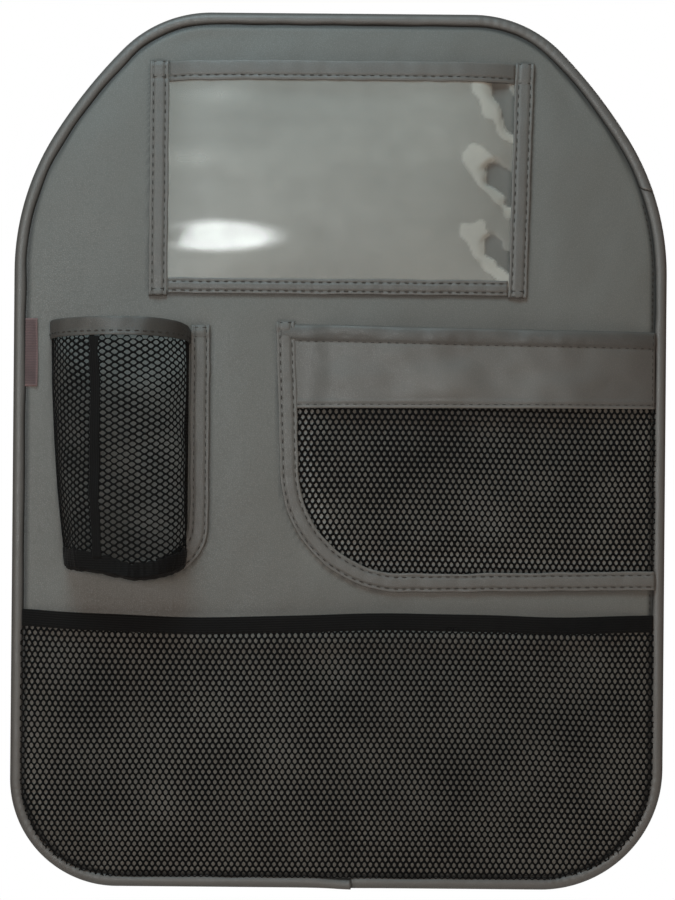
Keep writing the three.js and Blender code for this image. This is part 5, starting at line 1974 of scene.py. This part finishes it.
@dataclass
class BottlePocket:
    """The bulging pocket on the left: a net wall with a gusset, a leatherette band and a black base.

    Seen from above, the wall is three curves in a row: a quadratic out along the gusset to the seam, a
    cubic round the front, and a straight back to the cover.
    """

    wardrobe: Wardrobe
    sewing: Sewing
    left: float = -197.0
    width: float = 94.7
    depth: float = 52.0
    gusset: float = 33.5
    set_in: float = 2.4
    top: float = 85.5
    band_height: float = 11.5
    strip_foot: float = -89.0
    strip_radius: float = 37.5
    strip_tail: float = 20.0
    taper: float = 12.4
    base_rim: float = 13.0
    base_sag: float = 3.6
    tape_height: float = 8.0
    seam_width: float = 5.0

    def __post_init__(self) -> None:
        """Works out the wall's plan as a table of points and normals by distance."""
        self.right = self.left + self.width
        front, right = COVER_FACE - self.depth, self.right - self.set_in
        seam = np.array([self.left + self.gusset, front + self.depth * 0.08])
        turn = np.array([right, COVER_FACE - self.depth * 0.4])
        t = np.linspace(0.0, 1.0, 160)[:, None]
        start = np.array([self.left, COVER_FACE - CLEARANCE])
        bow = np.array([self.left, COVER_FACE - self.depth * 0.65])
        brow = np.array([seam[0] + self.width * 0.16, front - self.depth * 0.06])
        cheek = np.array([right - self.width * 0.06, front])
        end = np.array([right, COVER_FACE - CLEARANCE])
        gusset = (1 - t) ** 2 * start + 2 * t * (1 - t) * bow + t**2 * seam
        face = (1 - t) ** 3 * seam + 3 * t * (1 - t) ** 2 * brow + 3 * t**2 * (1 - t) * cheek + t**3 * turn
        back = turn + (end - turn) * t
        line = np.concatenate([gusset, face[1:], back[1:]])
        run = run_along(line)
        self.length = float(run[-1])
        self.seam_at = float(run[159])
        even = np.linspace(0.0, self.length, 420)
        points = np.stack([np.interp(even, run, line[:, k]) for k in range(2)], axis=1)
        along = np.gradient(points, axis=0)
        kernel = np.hanning(19) / np.hanning(19).sum()
        padded = [np.pad(along[:, k], 9, "edge") for k in range(2)]
        along = np.stack([np.convolve(column, kernel, "valid") for column in padded], axis=1)
        along /= np.linalg.norm(along, axis=1, keepdims=True)
        self.plan = Path(points, np.stack([along[:, 1], -along[:, 0]], axis=1), even)

    @property
    def rim(self) -> float:
        """Height of the base's rim."""
        return self.strip_foot + self.base_rim

    def wall(self, run: Array, z: Array, out: Array) -> Array:
        """Points of the wall.

        The left side draws in towards the foot by a power of the drop, and the back edge on the right
        follows the inner curve of the strip.

        Args:
            run: Distance along the plan.
            z: Height.
            out: Distance out from the wall's inner face.

        Returns:
            Points in space, with the shape of the arguments and a last axis of 3.
        """
        run, z, out = np.broadcast_arrays(run, z, out)
        point, normal = self.plan.at(np.clip(run, 0.0, self.length).ravel())
        point, normal = point.reshape(*run.shape, 2), normal.reshape(*run.shape, 2)
        down = np.clip((self.top - z) / (self.top - self.strip_foot), 0.0, 1.0)
        drawn = self.taper * down**2.1 * ((self.right - point[..., 0]) / self.width) ** 3
        inner = self.strip_radius - STRIP_WIDTH
        below = np.clip(self.strip_foot + self.strip_radius - z, 0.0, inner)
        curve = inner - np.sqrt(inner**2 - below**2)
        depth = COVER_FACE - point[..., 1]
        beside = np.where(run > self.seam_at, 1.0 - smoothstep(depth, STRIP_WIDTH / 3.0, STRIP_WIDTH), 0.0)
        slack = 0.9 * ripple(run, z, 62.0, 27) + 0.7 * ripple(run, z * 0.7, 27.0, 5)
        slack = slack * smoothstep(depth, 8.0, 30.0)
        x = point[..., 0] + drawn - curve * beside + normal[..., 0] * (out + slack)
        return together(x, point[..., 1] + normal[..., 1] * (out + slack), z)

    def build(self) -> None:
        """Makes every piece of the pocket and adds its stitches."""
        self._net()
        self._band()
        self._tapes()
        self._base()
        self._strip()

    def _net(self) -> None:
        """The net wall, whose meshes lie on their sides."""
        net = HexNet(4.5, 4.05, hole_width=3.0, hole_height=4.3, pinch=1.4, turned=True)
        low, high = self.rim, self.top - self.band_height + 2.0

        def keep(points: Array) -> Array:
            """Meshes between the tape at the base and the band at the mouth."""
            run, z = points[:, 0], points[:, 1]
            return (run > 1.0) & (run < self.length - 1.0) & (z > self._tape(run)[1] - 2.0) & (z < high)

        def place(run: Array, z: Array, height: Array) -> Array:
            """Net points on the wall, the columns wavering a little.

            Args:
                run: Distance along the wall.
                z: Height.
                height: Height above the net's back.

            Returns:
                Points in space, (n, 3).
            """
            return self.wall(run + 0.7 * np.sin(z / 23.0), z + 0.6 * np.sin(run / 19.0), height + 0.05)

        cells = net.cells((0.0, low - 10.0), (self.length, high), keep)
        run, z = cells[:, 0], cells[:, 1]
        open_by = 0.89 + 0.05 * ripple(run, z, 34.0, 61)
        open_by = open_by + 0.14 * smoothstep(run, self.seam_at - 4.0, self.seam_at)
        body = net.body(cells, place, open_by)
        piece = make_piece("bottle_pocket_knit_net", body, self.wardrobe[Finish.NET], ("bottle_net",))

    def _banded(self, name: str, node: str, low: float, high: float, thick: float, finish: Finish) -> None:
        """A band that wraps the wall between two heights.

        Its section is a rounded oblong: at angle a, height follows sign(cos a) |cos a|^0.3 and thickness
        sign(sin a) |sin a|^0.45.

        Args:
            name: Name of the piece.
            node: The solid that it stands for.
            low: Lower height.
            high: Upper height.
            thick: Thickness.
            finish: What it is made of.
        """
        run = np.linspace(0.0, self.length, max(8, int(self.length / 0.9)))[:, None]
        angle = np.linspace(0.0, 2.0 * math.pi, 33)[None, :-1]
        cos, sin = np.cos(angle), np.sin(angle)
        across = np.sign(cos) * np.abs(cos) ** 0.3
        middle, half = (low + high) / 2.0, (high - low) / 2.0
        share = np.clip(run / self.length, 0.0, 1.0)
        if finish is Finish.TRIM:
            bow = 1.6 * np.sin(math.pi * share) - (1.2 + 1.4 * (1.0 + across)) * smoothstep(share, 0.62, 1.0)
            z = middle + half * across + bow
        else:
            foot, head = self._tape(run)
            ragged = 0.7 * ripple(run, run * 0.0, 7.0, 3) * (across > 0)
            z = foot + (head - foot) * (1.0 + across) / 2.0 + ragged
            bow = foot - low
        gathers = 0.0 if finish is Finish.TRIM else 0.3 * ripple(run, z * 0.3, 3.6, 15)
        swell = 0.18 * ripple(run, z, 21.0, 9) + gathers
        out = thick / 2.0 + (thick / 2.0 + swell) * np.sign(sin) * np.abs(sin) ** 0.45
        if finish is Finish.TRIM:
            out = out - 0.5 * bell(z - (low + bow + 2.7), 0.9) * (sin > 0)
        rings = self.wall(run, z, out)
        uv = together(run, z)
        wear_and_light = np.broadcast_to(0.8 * smoothstep(np.abs(across), 0.9, 1.0), z.shape)
        body = tube(rings, uv, wear_and_light)
        # Painted shade: the band darkens along the right part of its run, where it turns from the light.
        body.marks = {"painted_shade": (0.32 + 0.42 * smoothstep(share, 0.45, 0.75) + 0.0 * z).ravel()}
        piece = make_piece(name, body, self.wardrobe[finish], (node,))

    def _tape(self, run: Array) -> tuple[Array, Array]:
        """Heights of the base tape's lower and upper edge: both sag round the front, the upper one more."""
        share = run / self.length
        sag = bell(share - 0.6, 0.16)
        foot = self.rim - 3.6 - 5.4 * sag + 4.0 * smoothstep(share, 0.74, 1.0)
        return foot, self.rim + self.tape_height + 0.8 - 8.6 * sag

    def _band(self) -> None:
        """The leatherette band round the mouth, with its stitch row."""
        low = self.top - self.band_height
        self._banded("bottle_mouth_band", "bottle_top_band", low, self.top + 0.8, 2.2, Finish.TRIM)
        run = np.linspace(3.0, self.length - 3.0, 120)
        share = run / self.length
        z = low + 2.9 + 1.6 * np.sin(math.pi * share) - 1.5 * smoothstep(share, 0.62, 1.0)
        line = self.wall(run, z, np.full_like(run, 2.0))
        _, normal = self.plan.at(run)
        self.sewing.add(Stitches.on(line, 5.4, together(normal[:, 0], normal[:, 1], 0.0)))

    def _tapes(self) -> None:
        """The tape over the gusset seam and the tape round the base."""
        low, high = self.rim + self.tape_height, self.top - self.band_height
        z = np.linspace(low - 4.5, high + 1.0, 90)[:, None]
        half = self.seam_width / 2.0 + 1.1 + 0.35 * ripple(z, z * 0.0, 16.0, 71)
        middle = self.seam_at + 1.2
        run = middle + half * np.linspace(-1.0, 1.0, 9)[None, :]
        edge = np.abs(run - middle) / half
        shift = 0.5 * np.sin(z / 17.0)
        thick = 0.9 - 0.35 * edge**4
        front = self.wall(run + shift, z, 0.9 + thick)
        back = self.wall(run + shift, z, np.full_like(run + z, 0.75))
        body = slab(front, back, together(z, run))
        piece = make_piece("bottle_gusset_tape", body, self.wardrobe[Finish.ELASTIC], ("bottle_seam_tape",))
        top = self.rim + self.tape_height
        self._banded("bottle_base_binding", "bottle_base_tape", self.rim, top, 1.3, Finish.ELASTIC)

    def _base(self) -> None:
        """The black base: a shallow bowl below the rim, from the wall's front back to the strip.

        Its drop is s (f - l) / (1 - l) times a sine from side to side, with f the square root of a sine
        from front to back and l its value at the rim.
        """
        strip_front = COVER_FACE - 3.4
        clear = self.plan.run[self.plan.points[:, 1] < strip_front - CLEARANCE]
        u = np.linspace(float(clear[4]), float(clear[-5]), 76)[None, :]
        v = np.linspace(0.0, 1.0, 34)[:, None]
        rim = self.wall(u + 0.0 * v, np.full((34, 76), self.rim), np.zeros((34, 76)))
        back = strip_front - CLEARANCE
        across = (u - u[0, 0]) / (u[0, -1] - u[0, 0])
        lip = math.sqrt(math.sin(math.pi * 0.04))
        drop = self.base_sag * (np.sqrt(np.sin(math.pi * (0.04 + 0.8 * v))) - lip) / (1.0 - lip)
        side = np.sin(math.pi * (0.06 + 0.88 * across)) ** 0.5
        z = self._tape(u)[0] + 1.2 - drop * side - 0.5 * ripple(u, v * 40.0, 11.0, 4) * side
        y = rim[..., 1] + (back - rim[..., 1]) * v
        inner = together(rim[..., 0], y, z)
        outer = inner + np.array([0.0, 0.0, -1.2])
        outer[..., 1] -= 0.6 * (1.0 - v)
        body = slab(inner, outer, together(u, v * 50.0))
        piece = make_piece("bottle_base_cloth", body, self.wardrobe[Finish.ELASTIC], ("bottle_base",))

    def strip(self) -> Strip:
        """The strip on the right of the pocket, turned in under its base.

        Returns:
            The strip.
        """
        start = (self.right + STRIP_WIDTH - self.strip_radius - self.strip_tail, self.strip_foot)
        moves = (
            Straight(self.strip_tail),
            Arc(self.strip_radius, math.pi / 2.0),
            Straight(self.top - self.strip_foot - self.strip_radius),
        )
        path = walk(start, 0.0, moves, 1.5)
        return Strip("bottle_side_strip_fold", path, "bottle_side_strip", 1.0, seed=13, caps=((-8.0, -1.5),))

    def _strip(self) -> None:
        """Makes the strip and adds its stitches."""
        strip = self.strip()
        strip.build(self.wardrobe)
        self.sewing.add(*strip.stitches())

    def seams(self) -> list[tuple[Array, float]]:
        """Middle line and half width of the strip, and the line where the gusset is sewn on."""
        path = self.strip().path
        gusset = self.wall(np.zeros(12), np.linspace(self.rim, self.top, 12), np.zeros(12))[:, [0, 2]]
        middle = path.between(STRIP_WIDTH / 2.0, path.length - STRIP_WIDTH / 2.0, 3.0)
        return [(middle.offset(STRIP_WIDTH / 2.0), STRIP_WIDTH / 2.0), (gusset, 1.0)]


@dataclass
class Extras:
    """The blank tag in the left seam, and the two straps across the back."""

    wardrobe: Wardrobe
    sewing: Sewing
    tag_width: float = 8.3
    tag_height: float = 47.0
    tag_top: float = 89.5
    strap_width: float = 25.0
    strap_thickness: float = 1.5
    headrest_strap_foot: float = 164.5
    seat_strap_foot: float = -196.5

    def build(self) -> None:
        """Makes the tag and both straps."""
        self._tag()
        self._strap("headrest_elastic_strap", "headrest_strap", self.headrest_strap_foot, 12.0)
        self._strap("seat_elastic_strap", "seat_strap", self.seat_strap_foot, 14.0)

    def _tag(self) -> None:
        """The tag: sewn in under the binding, its free edge curling off the cover."""
        u = np.linspace(0.0, 1.0, 14)[None, :]
        v = np.linspace(0.0, 1.0, 50)[:, None]
        x = -FIELD - 0.5 + (self.tag_width + 0.5) * u + 0.25 * np.sin(v * 5.0) * u
        z = self.tag_top - self.tag_height * (1.0 - v) + 0.0 * u
        curl = 0.25 + 1.5 * u**2 + 0.5 * u * np.sin(v * 7.0 + 0.8)
        front, back = together(x, COVER_FACE - curl - 0.25, z), together(x, COVER_FACE - curl, z)
        edge = np.minimum((1.0 - u) * self.tag_width, self.tag_height * np.minimum(v, 1.0 - v))
        fold = 0.35 * bell(v - 0.57, 0.16) * bell(u - 0.55, 0.5)
        wear_and_light = np.clip(1.0 - smoothstep(edge, 0.7, 1.7) - fold, 0.0, 1.0) + 0.0 * x
        body = slab(front, back, together(x, z), wear_and_light)
        piece = make_piece("side_seam_tag", body, self.wardrobe[Finish.TAG], ("seam_tag",))

    def _strap(self, name: str, node: str, foot: float, reach: float) -> None:
        """One strap: a band with rounded edges that lies on the lining and is sewn down at each end.

        Args:
            name: Name of the piece.
            node: The solid that it stands for.
            foot: Height of its lower edge.
            reach: Length of each sewn end.
        """
        rows, columns = 13, 220
        v = (1.0 - np.cos(np.linspace(0.0, math.pi, rows)))[:, None] / 2.0
        z = foot + self.strap_width * v
        line = EDGE.loop(2.0, BINDING_WIDTH + 0.1)
        left, right = EDGE.reach(line, z[:, 0], -1.0), EDGE.reach(line, z[:, 0], 1.0)
        share = np.linspace(0.0, 1.0, columns)[None, :]
        x = left[:, None] + (right - left)[:, None] * share
        z = z + 0.25 * ripple(x, x * 0.0, 90.0, 2)
        from_end = np.minimum(x - left[:, None], right[:, None] - x)
        loose = 1.3 * smoothstep(from_end, reach, reach + 60.0)
        loose += 0.3 * ripple(x, v * 6.0, 55.0, 7) * smoothstep(from_end, reach, reach + 20.0)
        half = self.strap_thickness / 2.0
        rounded = np.sqrt(np.maximum(1.0 - (2.0 * v - 1.0) ** 6, 0.0))
        seat = 0.1 + half + np.maximum(loose, 0.0)
        inner, outer = together(x, seat - half * rounded, z), together(x, seat + half * rounded, z)
        body = slab(inner, outer, together(x, z - z[:1]))
        piece = make_piece(name, body, self.wardrobe[Finish.ELASTIC], (node,))
        for side in (left.mean() + reach * 0.6, right.mean() - reach * 0.6):
            for shift in (-3.0, 3.0):
                height = np.linspace(foot + 2.0, foot + self.strap_width - 2.0, 12)
                line = together(side + shift, 0.1 + self.strap_thickness, height)
                self.sewing.add(Stitches.on(line, SEAM_PITCH, -FRONT))


# Studio


@dataclass
class Studio:
    """Camera, lamps, floor and surroundings."""

    target: Vector = field(default_factory=lambda: Vector((-0.0011, -0.004, 0.0005)))
    distance: float = 1.3
    frame_height: float = 0.6203
    roll: float = math.radians(0.5)
    floor_height: float = -0.46
    streak_reach: float = 1.15
    streak_aside: float = 0.24
    streak_rise: float = 0.033
    streak_lean: float = 0.2

    def build(self, glare_point: Vector, glare_normal: Vector) -> None:
        """Sets up everything round the object.

        Args:
            glare_point: Place on the clear sheet where a lamp is mirrored to the camera.
            glare_normal: The sheet's normal there.
        """
        camera = self._camera()
        self._world()
        self._floor()
        self._lamp("key_panel", (-0.22, -0.6, 0.78), 0.45, 0.45, 5.6, (0.76, 1.02, 1.12))
        self._lamp("side_panel", (-1.7, -1.5, 0.1), 0.8, 0.8, 1.6, (1.03, 0.8, 0.69))
        self._lamp("low_panel", (0.9, -1.2, -0.95), 0.7, 0.7, 2.0, (1.07, 0.77, 0.6))
        fill = self._lamp("fill_panel", (0.05, -1.5, 0.05), 0.16, 0.16, 7.7, (1.04, 0.77, 0.63))
        fill.visible_glossy = False
        self._lamp("back_panel", (0.6, 1.5, 0.7), 0.8, 0.8, 11.0, (1.0, 0.98, 0.95))
        self._glare(camera, glare_point, glare_normal)
        bpy.context.scene.view_settings.view_transform = "Standard"

    def _camera(self) -> bpy.types.Object:
        """The camera: level, straight in front, turned by the photograph's small roll.

        Returns:
            The camera.
        """
        data = bpy.data.cameras.new("camera")
        data.sensor_width = 36.0
        data.lens = data.sensor_width * self.distance / self.frame_height
        data.clip_start = 0.05
        camera = bpy.data.objects.new("camera", data)
        camera.location = self.target + Vector((0.0, -self.distance, 0.0))
        camera.rotation_euler = Euler((math.pi / 2.0, -self.roll, 0.0), "XYZ")
        bpy.context.scene.collection.objects.link(camera)
        bpy.context.scene.camera = camera
        return camera

    @staticmethod
    def _world() -> None:
        """Even surroundings: white to the camera, a softer grey as light."""
        world = bpy.data.worlds.new("studio")
        bpy.context.scene.world = world
        world.use_nodes = True
        world.node_tree.nodes.clear()
        graph = Graph(world.node_tree)
        path = graph.add("LightPath")
        seen = graph.add("Background")
        seen.inputs["Color"].default_value = (1.0, 1.0, 1.0, 1.0)
        light = graph.add("Background")
        light.inputs["Color"].default_value = (1.0, 0.76, 0.64, 1.0)
        light.inputs["Strength"].default_value = 0.115
        mix = graph.add("MixShader")
        graph.feed(mix.inputs[0], path.outputs["Is Camera Ray"])
        graph.feed(mix.inputs[1], light.outputs[0])
        graph.feed(mix.inputs[2], seen.outputs[0])
        out = graph.add("OutputWorld")
        graph.feed(out.inputs["Surface"], mix.outputs[0])

    def _floor(self) -> None:
        """A plain pale floor below the object, with a faint tooth."""
        material, graph, shader = blank_material("floor_paint")
        place = graph.add("TexCoord").outputs["Object"]
        noise = graph.add("TexNoise", Vector=place, Scale=40.0, Detail=4.0)
        pale = graph.mix(noise.outputs["Fac"], srgb(234, 234, 232), srgb(242, 242, 240))
        graph.feed(shader.inputs["Base Color"], pale)
        graph.feed(shader.inputs["Roughness"], graph.between(noise.outputs["Fac"], 0.3, 0.7, 0.6, 0.8))
        corners = [(-3.0, -3.0), (3.0, -3.0), (3.0, 0.5), (-3.0, 0.5)]
        mesh = bpy.data.meshes.new("floor")
        mesh.from_pydata([(x, y, self.floor_height) for x, y in corners], [], [(0, 1, 2, 3)])
        mesh.materials.append(material)
        floor = bpy.data.objects.new("floor", mesh)
        bpy.context.scene.collection.objects.link(floor)

    def _lamp(self, name: str, place: tuple[float, float, float], width: float, height: float, power: float,
              colour: tuple[float, float, float]) -> bpy.types.Object:
        """An oblong lamp that faces the object.

        Args:
            name: Name of the lamp.
            place: Its position.
            width: Width in metres.
            height: Height in metres.
            power: Power in watts.
            colour: Colour of its light.

        Returns:
            The lamp.
        """
        data = bpy.data.lights.new(name, "AREA")
        data.shape = "RECTANGLE"
        data.size, data.size_y = width, height
        data.energy = power
        data.color = colour
        lamp = bpy.data.objects.new(name, data)
        lamp.location = place
        lamp.rotation_euler = (self.target - Vector(place)).to_track_quat("-Z", "Y").to_euler()
        bpy.context.scene.collection.objects.link(lamp)
        return lamp

    def _glare(self, camera: bpy.types.Object, point: Vector, normal: Vector) -> None:
        """A low oval lamp near the mirror line from the camera, for the bright streak on the clear sheet.

        With v the unit way from the sheet to the camera and n its normal, the mirror line runs along
        2 (n . v) n - v. The lamp stands a little to its left and above, and leans, because the sheet
        curves away at its left edge.

        Args:
            camera: The camera.
            point: Where the sheet mirrors the lamp.
            normal: The sheet's normal there.
        """
        sight = (camera.location - point).normalized()
        mirrored = 2.0 * normal.dot(sight) * normal - sight
        level = mirrored.cross(Vector((0.0, 0.0, 1.0))).normalized()
        upright = level.cross(mirrored)
        place = point + mirrored * self.streak_reach + level * self.streak_aside + upright * self.streak_rise
        lamp = self._lamp("streak_lamp", tuple(place), 1.0, 0.18, 8.2, (0.95, 1.0, 1.0))
        lamp.visible_diffuse = False
        lamp.data.shape = "ELLIPSE"
        back = (place - point).normalized()
        long = (level * math.cos(self.streak_lean) + upright * math.sin(self.streak_lean)).normalized()
        long = (long - back * long.dot(back)).normalized()
        lamp.rotation_euler = Matrix((long, back.cross(long), back)).transposed().to_euler()


def main() -> None:
    """Builds the organizer's parts in order, then the studio."""
    logging.basicConfig(level=logging.INFO, format="%(name)s %(message)s", stream=sys.stdout)
    wardrobe = Wardrobe()
    window_sewing = Sewing("window_stitching")
    pocket_sewing = Sewing("pocket_stitching")
    edge_sewing = Sewing("edge_stitching", length=2.7, radius=0.3, arch=0.3)
    tablet = TabletPocket(wardrobe, window_sewing)
    side = SidePocket(wardrobe, pocket_sewing)
    bottle = BottlePocket(wardrobe, pocket_sewing)
    lower = LowerPocket(wardrobe)
    panel = Panel(wardrobe, tablet.seams() + side.seams() + bottle.seams(), edge_sewing)
    for part in (panel, tablet, side, bottle, lower, Extras(wardrobe, edge_sewing)):
        LOG.info("building %s", type(part).__name__)
        part.build()
    for sewing in (window_sewing, pocket_sewing, edge_sewing):
        sewing.build(wardrobe)

    Studio().build(*tablet.glare())


if __name__ == "__main__":
    main()
